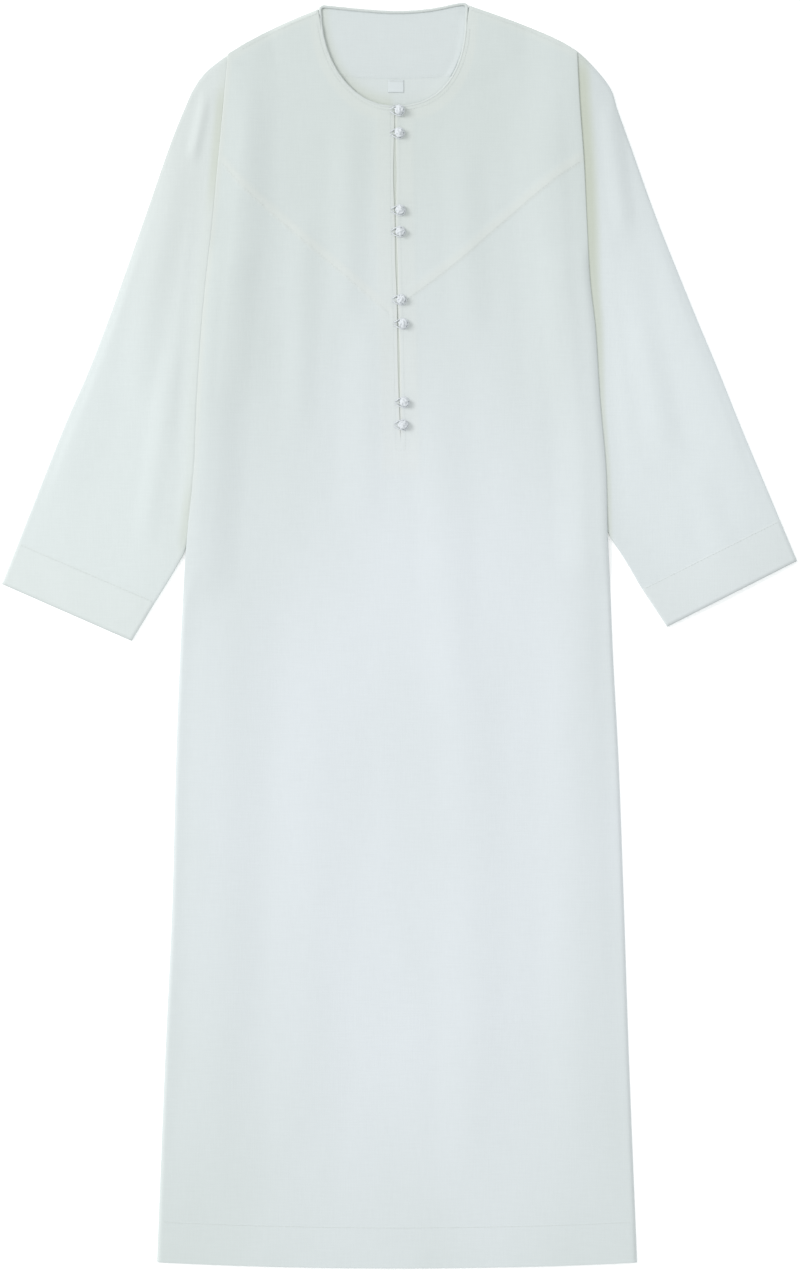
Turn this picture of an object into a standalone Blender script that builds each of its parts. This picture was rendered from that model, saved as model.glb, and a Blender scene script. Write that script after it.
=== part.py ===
"""A child's thobe, laid flat on its back.

Metres, +Z up. The robe lies on z = 0 with its neck towards +Y and its hem towards -Y.
The origin is at the middle of its outline, on the surface that it rests on.
"""
import math

import bmesh
import bpy
from mathutils import Matrix, Vector

# Cloth and how its layers lie on each other
CLOTH = 0.0012            # thickness of one panel
GAP = 0.0003              # air between two layers, or between two pieces at a seam
LAYER = CLOTH + GAP
TUBE = 2 * CLOTH + GAP    # a sleeve pressed flat
HEM_RAISE = 0.0004        # a turned hem stands this proud of its panel
SEAM_RAISE = 0.00035      # the pressed seam allowance along the V seam
LIP = 0.0012              # width of the front's rolled edge, which reaches down past the back
EDGE_DROP = 0.6 * CLOTH   # and its top side is this much lower at the edge
SEAM_PART = 0.65 * GAP    # each panel stays this far from the line of the V seam
INSET = LIP + 4 * GAP     # the back's edge stays this far inside the front's
TUCK = 0.014              # width of sleeve hidden under the body
TUCK_CLEAR = TUCK + 0.003    # the body starts to come down this far inside its edge
BACK_RAMP = 0.018         # the back climbs onto a sleeve over this width
FRONT_RAMP = 0.030        # the front takes longer, so that it never cuts into the back

# Lengths from the photo, at 0.832 mm for each of its pixels
HEM_Y = -0.5215
HEM_SAG = 0.0050          # the hem hangs lower at its middle
HEM_HALF = 0.2            # half of the hem's width
HEM_DEPTH = 0.035
CUFF_STEP = 0.03          # share of a sleeve section over which the cuff's hem steps up
UNDERARM_Y = 0.2789
LEAVE_Y = {"right": 0.0726, "left": 0.0859}    # where each sleeve comes out from under the body
LEAVE_CLEAR = 0.012       # the body stays up for this long below that
SETTLE = 0.040            # and sinks back to the surface over this length
BACK_SETTLE = 0.026       # above the underarm the back comes down beside the sleeve by here,
FRONT_SETTLE = 0.030      # the front starts to come down onto the sleeve alone here,
UNDERARM_RAMP = 0.020     # and both take this long

# The body's side edges, a row for each height: y, x of the wearer's right edge, x of the left edge
SIDE_EDGES = (
    ("y", "right", "left"),
    (0.4870, -0.1425, 0.1477),
    (0.4395, -0.1468, 0.1502),
    (0.3954, -0.1510, 0.1535),
    (0.3438, -0.1560, 0.1560),
    (0.2956, -0.1614, 0.1585),
    (0.2540, -0.1652, 0.1631),
    (0.1957, -0.1689, 0.1668),
    (0.1375, -0.1714, 0.1718),
    (0.0859, -0.1764, 0.1731),
    (0.0460, -0.1793, 0.1751),
    (-0.0164, -0.1826, 0.1776),
    (-0.1038, -0.1860, 0.1822),
    (-0.2286, -0.1893, 0.1868),
    (-0.3534, -0.1951, 0.1909),
    (-0.5300, -0.2022, 0.1980),
)

# The shoulder line, from the armhole up to the neck point
SHOULDERS = {
    "right": (("x", "y"), (-0.1425, 0.4837), (-0.1260, 0.4936), (-0.0969, 0.5086), (-0.0645, 0.5222)),
    "left": (("x", "y"), (0.1477, 0.4857), (0.1344, 0.4936), (0.1011, 0.5086), (0.0553, 0.5250)),
}

# The neck: half a rounded oval in the front, a shallow dip in the back
NECK_X = -0.0050
NECK_HALF = 0.0595
NECK_TOP = 0.5180
NECK_BOTTOM = 0.4408
NECK_SQUARENESS = {"right": 2.0, "left": 2.4}
BACK_NECK = (("x", "y"), (-0.0600, 0.5239), (-0.0304, 0.5210), (-0.0021, 0.5194), (0.0254, 0.5212),
             (0.0505, 0.5262))
BACK_NECK_SPAN = (-0.0600, 0.0505)
BINDING_RADIUS = 0.0013
NECK_TURN = 2 * BINDING_RADIUS + 4 * GAP    # the panels end this far outside the binding's rim
BINDING_STEPS = 13        # points down each side of the front neck, and across the back neck
BINDING_BACK_STEPS = 8
BINDING_START = 0.02      # angle round the neck of the first of them
BINDING_CORNERS = (0.004, 0.001)    # the back part stops this far short of the two neck points

# The slit between the two yokes, and how it wanders
SLIT = (("y", "x"), (0.4412, -0.0037), (0.3621, -0.0037), (0.2789, -0.0017), (0.1999, 0.0000), (0.1600, 0.0010))
SLIT_HALF = 0.0009
SLIT_END = 0.1600
SLIT_SPREAD = 0.006       # below it the columns of points beside the slit spread this far apart
SLIT_SPREAD_RUN = 0.12

# Columns of points down each half of the front: these far inside its side edge, then on to the slit
FRONT_OFFSETS = (0.0, LIP, LIP + GAP, 0.0070, TUCK_CLEAR, TUCK_CLEAR + FRONT_RAMP / 2, TUCK_CLEAR + FRONT_RAMP)
FRONT_MIDDLE = 12

# The V seam of each yoke, from the armhole to the slit
V_SEAM = {
    "right": (("x", "y"), (-0.1510, 0.3954), (-0.1327, 0.3738), (-0.0894, 0.3350), (-0.0437, 0.2964),
              (-0.0020, 0.2606)),
    "left": (("x", "y"), (0.1535, 0.3945), (0.1277, 0.3771), (0.0811, 0.3380), (0.0487, 0.3097),
             (-0.0008, 0.2723)),
}

# Where the mesh of each panel has its lines and columns
FRONT_EDGE_COLUMNS = 3    # columns that follow the side edge up over the yoke
BACK_OFFSETS = (INSET, 0.0072, TUCK + 2 * GAP, TUCK_CLEAR, TUCK_CLEAR + BACK_RAMP)
BACK_ARMHOLE = 2          # columns of the back that are left out at each armhole
BACK_LEVELS = (0.0, 0.035, 0.110, 0.200, 0.290, 0.380, 0.455, 0.495, 0.515, 0.5340, 0.5545, 0.5745, 0.5945,
               0.640, 0.690, 0.740, 0.780)
BACK_UPPER = (0.10, 0.22, 0.45, 0.70, 0.88, 1.0)
SKIRT_HEM_LEVELS = (0.0, HEM_DEPTH - 0.005, HEM_DEPTH - 0.0013, HEM_DEPTH)
SKIRT_LEVELS = (-0.411, -0.331, -0.251, -0.171, -0.091, -0.041, -0.0065, 0.0125, 0.0335, 0.0535, 0.0740,
                0.0985, 0.1285)
SKIRT_UPPER = (0.25, 0.50, 0.75, 1.0)
YOKE_LINES = (0.0, 0.12, 0.26, 0.42, 0.58, 0.74, 0.88)
YOKE_ROLLED = (0.007, LIP + GAP, LIP, 0.0)
YOKE_TOP_IN = 0.010       # the plain lines stop this far below the shoulder and the neck
NECK_START = 0.05         # angle round the neck of the yoke's first column there
SLEEVE_SPREAD = (0.10, 0.24, 0.38, 0.52, 0.66, 0.80, 0.92)
SLEEVE_ROLL = 0.0009      # width of a sleeve's rounded fold
SLEEVE_INNER = CLOTH + 0.0001    # how far the inside of the tube stays inside its folds

# Each sleeve pressed flat, a row for each section: x, y of its outer fold, y of its inner fold,
# and how far that fold lies under the body's side edge (less than 0 is out beside it).
# The last row but one runs along the top of the cuff's hem.
SLEEVES = {
    "right": (
        ("outer_x", "outer_y", "inner_y", "under"),
        (-0.1298, 0.4892, 0.2789, TUCK),
        (-0.1431, 0.4824, 0.2456, TUCK),
        (-0.1610, 0.4686, 0.2124, TUCK),
        (-0.1718, 0.4536, 0.1874, TUCK),
        (-0.1785, 0.4387, 0.1624, TUCK),
        (-0.1909, 0.4079, 0.1370, 0.0120),
        (-0.2126, 0.3455, 0.1084, 0.0078),
        (-0.2392, 0.2706, 0.0726, 0.0000),
        (-0.2583, 0.2207, 0.0584, -0.0059),
        (-0.2800, 0.1708, 0.0430, -0.0140),
        (-0.3167, 0.0779, 0.0278, -0.0226),
        (-0.3307, 0.0426, -0.0048, -0.0406),
    ),
    "left": (
        ("outer_x", "outer_y", "inner_y", "under"),
        (0.1345, 0.4916, 0.2789, TUCK),
        (0.1481, 0.4853, 0.2456, TUCK),
        (0.1643, 0.4695, 0.2124, TUCK),
        (0.1760, 0.4536, 0.1874, TUCK),
        (0.1814, 0.4370, 0.1624, 0.0130),
        (0.1918, 0.4079, 0.1416, 0.0113),
        (0.2142, 0.3455, 0.1125, 0.0068),
        (0.2442, 0.2706, 0.0859, 0.0000),
        (0.2650, 0.2207, 0.0660, -0.0113),
        (0.2850, 0.1708, 0.0500, -0.0200),
        (0.3160, 0.0968, 0.0386, -0.0261),
        (0.3307, 0.0618, 0.0069, -0.0459),
    ),
}

# The largest soft folds, a row for each ridge: from x, y to x, y, half width and height
BODY_FOLDS = (
    ("x0", "y0", "x1", "y1", "half", "height"),
    (-0.1240, 0.4750, -0.1330, 0.1700, 0.017, 0.0022),
    (-0.0790, 0.3700, -0.0850, 0.1500, 0.012, 0.0012),
    (-0.0420, 0.4450, -0.0440, 0.2400, 0.013, 0.0013),
    (0.1130, 0.4750, 0.1330, 0.1700, 0.018, 0.0022),
    (0.0520, 0.4300, 0.0600, 0.2300, 0.015, 0.0012),
    (-0.1420, 0.1200, -0.1520, -0.5100, 0.026, 0.0018),
    (0.0560, 0.0600, 0.0620, -0.5050, 0.024, 0.0013),
    (0.1460, 0.1300, 0.1500, -0.5000, 0.024, 0.0017),
    (-0.0700, -0.0200, -0.0860, -0.4700, 0.028, 0.0012),
)
SLEEVE_FOLDS = (
    ("x0", "y0", "x1", "y1", "half", "height"),
    (-0.1577, 0.4560, -0.1740, 0.3900, 0.0060, 0.0016),
    (-0.1790, 0.4250, -0.2250, 0.1800, 0.014, 0.0018),
    (-0.1980, 0.3700, -0.2950, 0.0900, 0.020, 0.0018),
    (0.1720, 0.4550, 0.1890, 0.3200, 0.009, 0.0018),
    (0.1870, 0.3400, 0.2250, 0.1300, 0.014, 0.0016),
    (0.2050, 0.3500, 0.2920, 0.1000, 0.020, 0.0017),
)
FOLD_FADE = 0.022         # folds die out this far from an edge
FOLD_TAPER = 0.25         # share of a fold's length over which each end rises
FOLD_FOOT = 1.6           # a fold has died out at this many times its half width
SLEEVE_FOLD_FROM = 0.004  # sleeve folds start this far outside the body
SLEEVE_FOLD_FADE = 0.020
WELT = {"right": 0.0004, "left": 0.0014}    # the armhole seam under the front stands this proud
WELT_IN = 0.010           # its crest lies this far inside the side edge
WELT_OUT = 0.036          # and it has died out this far inside
WELT_SPAN = (0.105, 0.478)
WELT_TAPER = (0.120, 0.030)

# The knot buttons and their loops: x and y of each button
BUTTONS = (("x", "y"), (-0.0004, 0.4362), (-0.0004, 0.4175), (0.0004, 0.3534), (0.0004, 0.3355),
           (0.0012, 0.2789), (0.0029, 0.2590), (0.0037, 0.1936), (0.0029, 0.1749))
BUTTON_RADIUS = 0.0046
BUTTON_SIDES = 10
BUTTON_RINGS = 6
BUTTON_HEIGHT = 0.0072
LOOP_RADIUS = 0.0047
LOOP_CORD = 0.0006
LOOP_STEP = 24            # degrees between two points of a loop's turn
LOOP_REACH = 120          # how far the turn runs to each side
LOOP_PINCH = (0.0052, 0.0024)    # where the loop narrows, back from the button's middle and to its side
LOOP_END = 0.0012         # half of the distance between its two ends
LOOP_TAIL = 0.0075        # the cord's two ends run this far back from the button's middle

# What shows inside the back neck
FACING_LOW = 0.4653
FACING_HIGH = 0.0035      # its top line starts this far under the neck's top
FACING_COLUMNS = 9
FACING_LINES = 5
FACING_UNDER = 0.007      # it runs this far under the front's neck edge
FACING_LOW_HALF = 0.0420  # half of its width where its sides would reach the neck's top
FACING_WIDEN = 1.2        # and how fast it widens below that
FACING_SAG = 0.002
FACING = 0.0010
NECK_LIFT = 0.0016        # the front lies this much higher where the facing runs under it
FACING_MIDDLE_Y = 0.500
FACING_REACH = (0.086, 0.0444)    # half of the oval over which it does
FACING_FADE = 0.35
LABEL = (0.0150, 0.0100)
LABEL_AT = (-0.0029, 0.4566)

COLOURS = {
    "cloth": (0.80, 0.84, 0.80),
    "inside": (0.78, 0.82, 0.78),
    "knot": (0.84, 0.86, 0.90),
    "label": (0.86, 0.88, 0.88),
}


def lerp(a, b, t):
    return a + (b - a) * t


def clamp(t):
    return max(0.0, min(1.0, t))


def smooth(t):
    t = clamp(t)
    return t * t * (3 - 2 * t)


def rows(table):
    return table[1:]


def read(table, value, column=1):
    """The table's column at a value of its first one, on a smooth curve through its rows."""
    points = sorted((row[0], row[column]) for row in rows(table))
    if value <= points[0][0]:
        return points[0][1]
    if value >= points[-1][0]:
        return points[-1][1]
    index = max(number for number, point in enumerate(points) if point[0] <= value)

    def slope(number):
        before, after = points[max(number - 1, 0)], points[min(number + 1, len(points) - 1)]
        return (after[1] - before[1]) / (after[0] - before[0])

    (start, from_value), (end, to_value) = points[index], points[index + 1]
    span = end - start
    t = (value - start) / span
    curve = (2 * t ** 3 - 3 * t ** 2 + 1) * from_value + (3 * t ** 2 - 2 * t ** 3) * to_value
    curve += (t ** 3 - 2 * t ** 2 + t) * span * slope(index)
    return curve + (t ** 3 - t ** 2) * span * slope(index + 1)


def side(y, which):
    return read(SIDE_EDGES, y, 1 if which == "right" else 2)


def from_side(x, y, which):
    """How far a point lies inside the body's side edge."""
    edge = side(y, which)
    return x - edge if which == "right" else edge - x


def sign(which):
    return -1 if which == "right" else 1


def slit_x(y):
    return read(SLIT, y)


def hem_y(x):
    return HEM_Y - HEM_SAG * (1 - (x / HEM_HALF) ** 2)


def ridge(x, y, fold):
    """The height that one fold adds at a point: a soft ridge that tapers to both ends."""
    x0, y0, x1, y1, half, height = fold
    run = Vector((x1 - x0, y1 - y0))
    away = Vector((x - x0, y - y0))
    along = away.dot(run) / run.length_squared
    across = abs(away.x * run.y - away.y * run.x) / run.length
    taper = smooth(along / FOLD_TAPER) * smooth((1 - along) / FOLD_TAPER)
    return height * taper * smooth(1 - across / (FOLD_FOOT * half))


def sinks(y, which):
    """1 where the body lies on the sleeve, 0 where it has come down beside it."""
    start = LEAVE_Y[which] - LEAVE_CLEAR
    return clamp((y - (start - SETTLE)) / SETTLE)


def over_sleeve(x, y, ramp):
    """How far the sleeves lift the body, between the underarm and where they leave it."""
    lift = 0.0
    for which in ("right", "left"):
        inward = clamp((TUCK_CLEAR + ramp - from_side(x, y, which)) / ramp)
        lift = max(lift, inward * sinks(y, which))
    return lift * 2 * LAYER


def back_lift(x, y):
    upward = clamp((UNDERARM_Y + BACK_SETTLE - y) / UNDERARM_RAMP)
    return over_sleeve(x, y, BACK_RAMP) * upward


def near_neck(x, y):
    """1 over the back neck facing, fading to 0 outside it."""
    reach = math.hypot((x - NECK_X) / FACING_REACH[0], (y - FACING_MIDDLE_Y) / FACING_REACH[1])
    return smooth((1 + FACING_FADE - reach) / FACING_FADE)


def near_edge(x, y):
    """0 at the body's side edges and shoulders, 1 well inside."""
    sides = min(from_side(x, y, "right"), from_side(x, y, "left"))
    top = shoulder_y(x) - y
    return smooth(sides / FOLD_FADE) * smooth(top / FOLD_FADE)


def body_folds(x, y):
    total = sum(ridge(x, y, fold) for fold in rows(BODY_FOLDS))
    return total * near_edge(x, y)


def welt(x, y):
    """The long soft ridge beside the armhole, where the seam is folded in under the front."""
    which = "right" if x < NECK_X else "left"
    inward = from_side(x, y, which)
    across = smooth(inward / WELT_IN) * smooth((WELT_OUT - inward) / (WELT_OUT - WELT_IN))
    low, high = WELT_SPAN
    return WELT[which] * across * smooth((y - low) / WELT_TAPER[0]) * smooth((high - y) / WELT_TAPER[1])


def front_rest(x, y):
    """The height of the front's underside, away from its rolled edge."""
    upward = clamp((y - UNDERARM_Y - FRONT_SETTLE) / UNDERARM_RAMP)
    on_tube = over_sleeve(x, y, FRONT_RAMP)
    lift = lerp(on_tube, on_tube / 2, upward)
    return LAYER + max(lift, NECK_LIFT * near_neck(x, y)) + body_folds(x, y) + welt(x, y)


def shoulder_y(x):
    which = "right" if x < NECK_X else "left"
    return read(SHOULDERS[which], x)


def neck_y(x, which):
    """The front neck edge: the lower half of a rounded oval."""
    power = NECK_SQUARENESS[which]
    reach = min(1.0, abs(x - NECK_X) / NECK_HALF)
    return NECK_TOP - (NECK_TOP - NECK_BOTTOM) * (1 - reach ** power) ** (1 / power)


def neck_point(angle, which, out=0.0):
    """A point of the front neck edge, from 0 at the shoulder to a quarter turn at the middle."""
    power = NECK_SQUARENESS[which]
    x = (NECK_HALF + out) * math.cos(angle) ** (2 / power)
    y = (NECK_TOP - NECK_BOTTOM + out) * math.sin(angle) ** (2 / power)
    return NECK_X + sign(which) * x, NECK_TOP - y


def material(name):
    kind = bpy.data.materials.new(name)
    kind.use_nodes = True
    shader = kind.node_tree.nodes["Principled BSDF"]
    shader.inputs["Base Color"].default_value = (*COLOURS[name.split(".")[-1]], 1)
    shader.inputs["Roughness"].default_value = 0.85
    shader.inputs["Metallic"].default_value = 0.0
    kind.diffuse_color = (*COLOURS[name.split(".")[-1]], 1)
    return kind


def finish(name, mesh, finish_name, collection, smooth_angle=35):
    mesh.materials.append(material(f"{name}.{finish_name}"))
    mesh.shade_smooth()
    mesh.set_sharp_from_angle(angle=math.radians(smooth_angle))
    piece = bpy.data.objects.new(name, mesh)
    collection.objects.link(piece)
    return piece


def wall(name, columns, lines, place, under, over, collection, finish_name="cloth", skip=None):
    """A cloth wall: a grid laid out in plan, drawn up to its underside and thickened to its top.

    place gives the plan point of a column and a line, under and over the two heights there,
    and skip says which cells stay open.
    """
    bm = bmesh.new()
    bmesh.ops.create_grid(bm, x_segments=columns - 1, y_segments=lines - 1, size=0.5)
    where = {}
    for vert in bm.verts:
        column = round((vert.co.x + 0.5) * (columns - 1))
        line = round((vert.co.y + 0.5) * (lines - 1))
        where[vert] = (column, line)
    if skip:
        open_cells = []
        for face in bm.faces:
            column = min(where[vert][0] for vert in face.verts)
            line = min(where[vert][1] for vert in face.verts)
            if skip(column, line):
                open_cells.append(face)
        bmesh.ops.delete(bm, geom=open_cells, context="FACES")
    for vert in bm.verts:
        column, line = where[vert]
        x, y = place(column, line)
        vert.co = (x, y, under(x, y, column, line))
    raised = {}
    for vert in bm.verts:
        raised[(vert.co.x, vert.co.y)] = over(vert.co.x, vert.co.y, *where[vert])
    bmesh.ops.recalc_face_normals(bm, faces=bm.faces)
    if bm.faces[:][0].normal.z > 0:
        bmesh.ops.reverse_faces(bm, faces=bm.faces)
    shape = bmesh.ops.extrude_face_region(bm, geom=bm.faces[:], use_keep_orig=True)
    top = [item for item in shape["geom"] if isinstance(item, bmesh.types.BMVert)]
    for vert in top:
        vert.co.z = raised[(vert.co.x, vert.co.y)]
    bmesh.ops.recalc_face_normals(bm, faces=bm.faces)
    mesh = bpy.data.meshes.new(name)
    bm.to_mesh(mesh)
    bm.free()
    return finish(name, mesh, finish_name, collection)


def edge_columns(inside):
    """Stations across the body: offsets from the wearer's right edge, fractions between, and back."""
    steps = [("right", offset) for offset in inside]
    middle = 9
    steps += [("between", (index + 1) / (middle + 1)) for index in range(middle)]
    steps += [("left", offset) for offset in reversed(inside)]
    return steps


def station_x(step, y, deepest):
    where, value = step
    if where == "right":
        return side(y, "right") + value
    if where == "left":
        return side(y, "left") - value
    return lerp(side(y, "right") + deepest, side(y, "left") - deepest, value)


def back_panel(collection):
    steps = edge_columns(BACK_OFFSETS)
    deepest = BACK_OFFSETS[-1]
    lower = [HEM_Y + level for level in BACK_LEVELS] + [UNDERARM_Y]
    neck_from, neck_to = BACK_NECK_SPAN

    def top(x):
        if neck_from <= x <= neck_to:
            return read(BACK_NECK, x) - NECK_TURN
        return shoulder_y(x) - INSET

    def place(column, line):
        if line < len(lower):
            y = lower[line]
            x = station_x(steps[column], y, deepest)
            if line == 0:
                return x, hem_y(x)
            if line == 1:
                return x, hem_y(x) + HEM_DEPTH
            return x, y
        crown = station_x(steps[column], SHOULDERS["right"][1][1], deepest)
        y = lerp(UNDERARM_Y, top(crown), BACK_UPPER[line - len(lower)])
        return station_x(steps[column], y, deepest), y

    def under(x, y, column, line):
        return back_lift(x, y)

    def over(x, y, column, line):
        return under(x, y, column, line) + CLOTH

    def skip(column, line):
        outer = column < BACK_ARMHOLE or column >= len(steps) - 1 - BACK_ARMHOLE
        return outer and line >= len(lower) - 1

    count = len(lower) + len(BACK_UPPER)
    return wall("back_panel", len(steps), count, place, under, over, collection, skip=skip)


def slit_half(y):
    """Half the slit's width; below its end the columns beside it spread apart."""
    return SLIT_HALF + SLIT_SPREAD * smooth((SLIT_END - y) / SLIT_SPREAD_RUN)


def front_x(which, column, y):
    """Where a column of the front runs at a height: from the side edge in, then on to the slit."""
    inward = -sign(which)
    if column < len(FRONT_OFFSETS):
        return side(y, which) + inward * FRONT_OFFSETS[column]
    start = side(y, which) + inward * FRONT_OFFSETS[-1]
    end = slit_x(y) - inward * slit_half(y)
    return lerp(start, end, (column - len(FRONT_OFFSETS) + 1) / FRONT_MIDDLE)


def seam_point(which, column):
    """Where a column meets the V seam, found by going back and forth between the two."""
    y = UNDERARM_Y
    for _ in range(60):
        y = read(V_SEAM[which], front_x(which, column, y))
    return front_x(which, column, y), y


def lip_rest(x, y):
    """The underside of the front's rolled edge: on the surface, or on a sleeve."""
    return over_sleeve(x, y, FRONT_RAMP)


def front_skirt(collection):
    half = len(FRONT_OFFSETS) + FRONT_MIDDLE
    lower = [HEM_Y + level for level in SKIRT_HEM_LEVELS] + list(SKIRT_LEVELS) + [SLIT_END]
    hem_lines = len(SKIRT_HEM_LEVELS)
    last = len(lower) + len(SKIRT_UPPER) - 1
    columns = 2 * half

    def which_half(column):
        return ("right", column) if column < half else ("left", columns - 1 - column)

    tops = [seam_point(*which_half(column))[1] - SEAM_PART for column in range(columns)]

    def place(column, line):
        which, step = which_half(column)
        if line >= len(lower):
            y = lerp(SLIT_END, tops[column], SKIRT_UPPER[line - len(lower)])
            return front_x(which, step, y), y
        y = lower[line]
        x = front_x(which, step, y)
        return (x, hem_y(x) + SKIRT_HEM_LEVELS[line]) if line < hem_lines else (x, y)

    def under(x, y, column, line):
        return lip_rest(x, y) if which_half(column)[1] < 2 else front_rest(x, y)

    def over(x, y, column, line):
        height = front_rest(x, y) + CLOTH
        if line < hem_lines - 1:
            height += HEM_RAISE
        if line == last:
            height += SEAM_RAISE
        return height - EDGE_DROP if which_half(column)[1] == 0 else height

    def skip(column, line):
        return column == half - 1 and line >= len(lower) - 1

    return wall("front_skirt", columns, last + 1, place, under, over, collection, skip=skip)


def yoke(which, collection):
    """One upper front, between the armhole, the shoulder, the neck, the slit and the V seam."""
    columns = len(FRONT_OFFSETS) + FRONT_MIDDLE
    corner = len(FRONT_OFFSETS)
    plain = len(YOKE_LINES)
    last = columns - 1

    def foot(column):
        x, y = seam_point(which, column)
        return Vector((x, y + SEAM_PART))

    def crown(column):
        armhole_x = rows(SHOULDERS[which])[0][0]
        if column < corner:
            x = armhole_x - sign(which) * FRONT_OFFSETS[column]
            return Vector((x, shoulder_y(x)))
        if column == corner:
            x = NECK_X + sign(which) * (NECK_HALF + NECK_TURN)
            return Vector((x, shoulder_y(x)))
        angle = lerp(NECK_START, math.pi / 2, (column - corner - 1) / (last - corner - 1))
        x, y = neck_point(angle, which, out=NECK_TURN)
        return Vector((x, y))

    def place(column, line):
        low, high = foot(column), crown(column)
        run = high - low
        if line < plain:
            point = low + run * (YOKE_LINES[line] * (1 - YOKE_TOP_IN / run.length))
        else:
            point = high - run.normalized() * YOKE_ROLLED[line - plain]
        if column < FRONT_EDGE_COLUMNS:
            point.x = front_x(which, column, point.y)
        if column == last:
            point.x = slit_x(point.y) + sign(which) * SLIT_HALF
        return point.x, point.y

    def under(x, y, column, line):
        if column < corner and line >= plain + 2:
            return min(front_rest(x, y), max(lip_rest(x, y), shoulder_rest(x, y, which)))
        return front_rest(x, y)

    def over(x, y, column, line):
        height = front_rest(x, y) + CLOTH
        if line == 0:
            height += SEAM_RAISE
        at_edge = column == 0 or (column <= corner and line == plain + len(YOKE_ROLLED) - 1)
        return height - EDGE_DROP if at_edge else height

    return wall(f"yoke_{which}", columns, plain + len(YOKE_ROLLED), place, under, over, collection)


def shoulder_rest(x, y, which):
    """The shoulder's rolled edge lies on the sleeve's head, and beyond it on the surface."""
    return 2 * LAYER * clamp((TUCK_CLEAR + FRONT_RAMP - from_side(x, y, which)) / FRONT_RAMP)


def sleeve_folds(x, y, which):
    total = sum(ridge(x, y, fold) for fold in rows(SLEEVE_FOLDS))
    beyond = -from_side(x, y, which)
    return total * smooth((beyond - SLEEVE_FOLD_FROM) / SLEEVE_FOLD_FADE)


def sleeve(which, collection):
    """A pressed-flat tube: rings from the armhole to the cuff, joined outside and inside."""
    measured = [("step", "outer_x", "outer_y", "inner_x", "inner_y")]
    for step, (outer_x, outer_y, inner_y, beneath) in enumerate(rows(SLEEVES[which])):
        measured.append((step, outer_x, outer_y, side(inner_y, which) - sign(which) * beneath, inner_y))
    hem_step = measured[-2][0]
    steps = [half / 2 for half in range(2 * hem_step)] + [hem_step - CUFF_STEP, hem_step, hem_step + 1]
    sections = []
    for step in steps:
        outer_x, outer_y, inner_x, inner_y = (read(measured, step, column) for column in range(1, 5))
        sections.append((Vector((outer_x, outer_y)), Vector((inner_x, inner_y))))
    hem_from = len(sections) - 2

    def ring(outer, inner, shrink, hem):
        """Points round one section: over the top from the outer fold, and back underneath."""
        run = (inner - outer).normalized()
        width = (inner - outer).length
        ends = (shrink, shrink + SLEEVE_ROLL)
        across = list(ends) + [width * part for part in SLEEVE_SPREAD] + [width - end for end in reversed(ends)]
        low, high = (CLOTH, LAYER) if shrink else (0.0, TUBE)
        points = []
        for index, distance in enumerate(across):
            at = outer + run * distance
            lift = sleeve_folds(at.x, at.y, which) if 1 < index < len(across) - 2 else 0.0
            if index in (0, len(across) - 1):
                height = TUBE / 2
            else:
                height = high + lift + (HEM_RAISE if hem and not shrink else 0.0)
            points.append((at.x, at.y, height))
        for distance in reversed(across[1:-1]):
            at = outer + run * distance
            points.append((at.x, at.y, low))
        return points

    bm = bmesh.new()
    shells = []
    for shrink in (0.0, SLEEVE_INNER):
        rings = []
        for index, (outer, inner) in enumerate(sections):
            points = ring(outer, inner, shrink, index >= hem_from)
            rings.append([bm.verts.new(point) for point in points])
        shells.append(rings)
        for one, two in zip(rings, rings[1:]):
            for step in range(len(one)):
                after = (step + 1) % len(one)
                bm.faces.new((one[step], one[after], two[after], two[step]))
    for end in (0, -1):
        outer_ring, inner_ring = shells[0][end], shells[1][end]
        for step in range(len(outer_ring)):
            after = (step + 1) % len(outer_ring)
            bm.faces.new((outer_ring[step], outer_ring[after], inner_ring[after], inner_ring[step]))
    bmesh.ops.recalc_face_normals(bm, faces=bm.faces)
    mesh = bpy.data.meshes.new(f"sleeve_{which}")
    bm.to_mesh(mesh)
    bm.free()
    return finish(f"sleeve_{which}", mesh, "cloth", collection)


def front_top(x, y):
    return front_rest(x, y) + CLOTH


def binding(collection):
    """A corded edge round the neck: up one side of the slit, over the back neck, down the other."""
    radius = BINDING_RADIUS
    route = []
    for which in ("right", "left"):
        arm = []
        for step in range(BINDING_STEPS + 1):
            angle = lerp(BINDING_START, math.pi / 2, step / BINDING_STEPS)
            x, y = neck_point(angle, which, out=radius)
            if step == BINDING_STEPS:
                x = slit_x(y) + sign(which) * (SLIT_HALF + radius * 0.2)
            arm.append((x, y, front_rest(x, y) + radius))
        if which == "right":
            route += list(reversed(arm))
            for index in range(BINDING_BACK_STEPS + 1):
                short_right, short_left = BINDING_CORNERS
                start, end = BACK_NECK[1][0] + short_right, BACK_NECK[-1][0] - short_left
                x = lerp(start, end, index / BINDING_BACK_STEPS)
                route.append((x, read(BACK_NECK, x) - radius, radius))
        else:
            route += arm
    curve = bpy.data.curves.new("neck_binding", "CURVE")
    curve.dimensions = "3D"
    curve.bevel_depth = radius
    curve.bevel_resolution = 1
    curve.use_fill_caps = True
    line = curve.splines.new("POLY")
    line.points.add(len(route) - 1)
    for point, at in zip(line.points, route):
        point.co = (*at, 1)
    curve.materials.append(material("neck_binding.cloth"))
    collection.objects.link(bpy.data.objects.new("neck_binding", curve))


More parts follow.
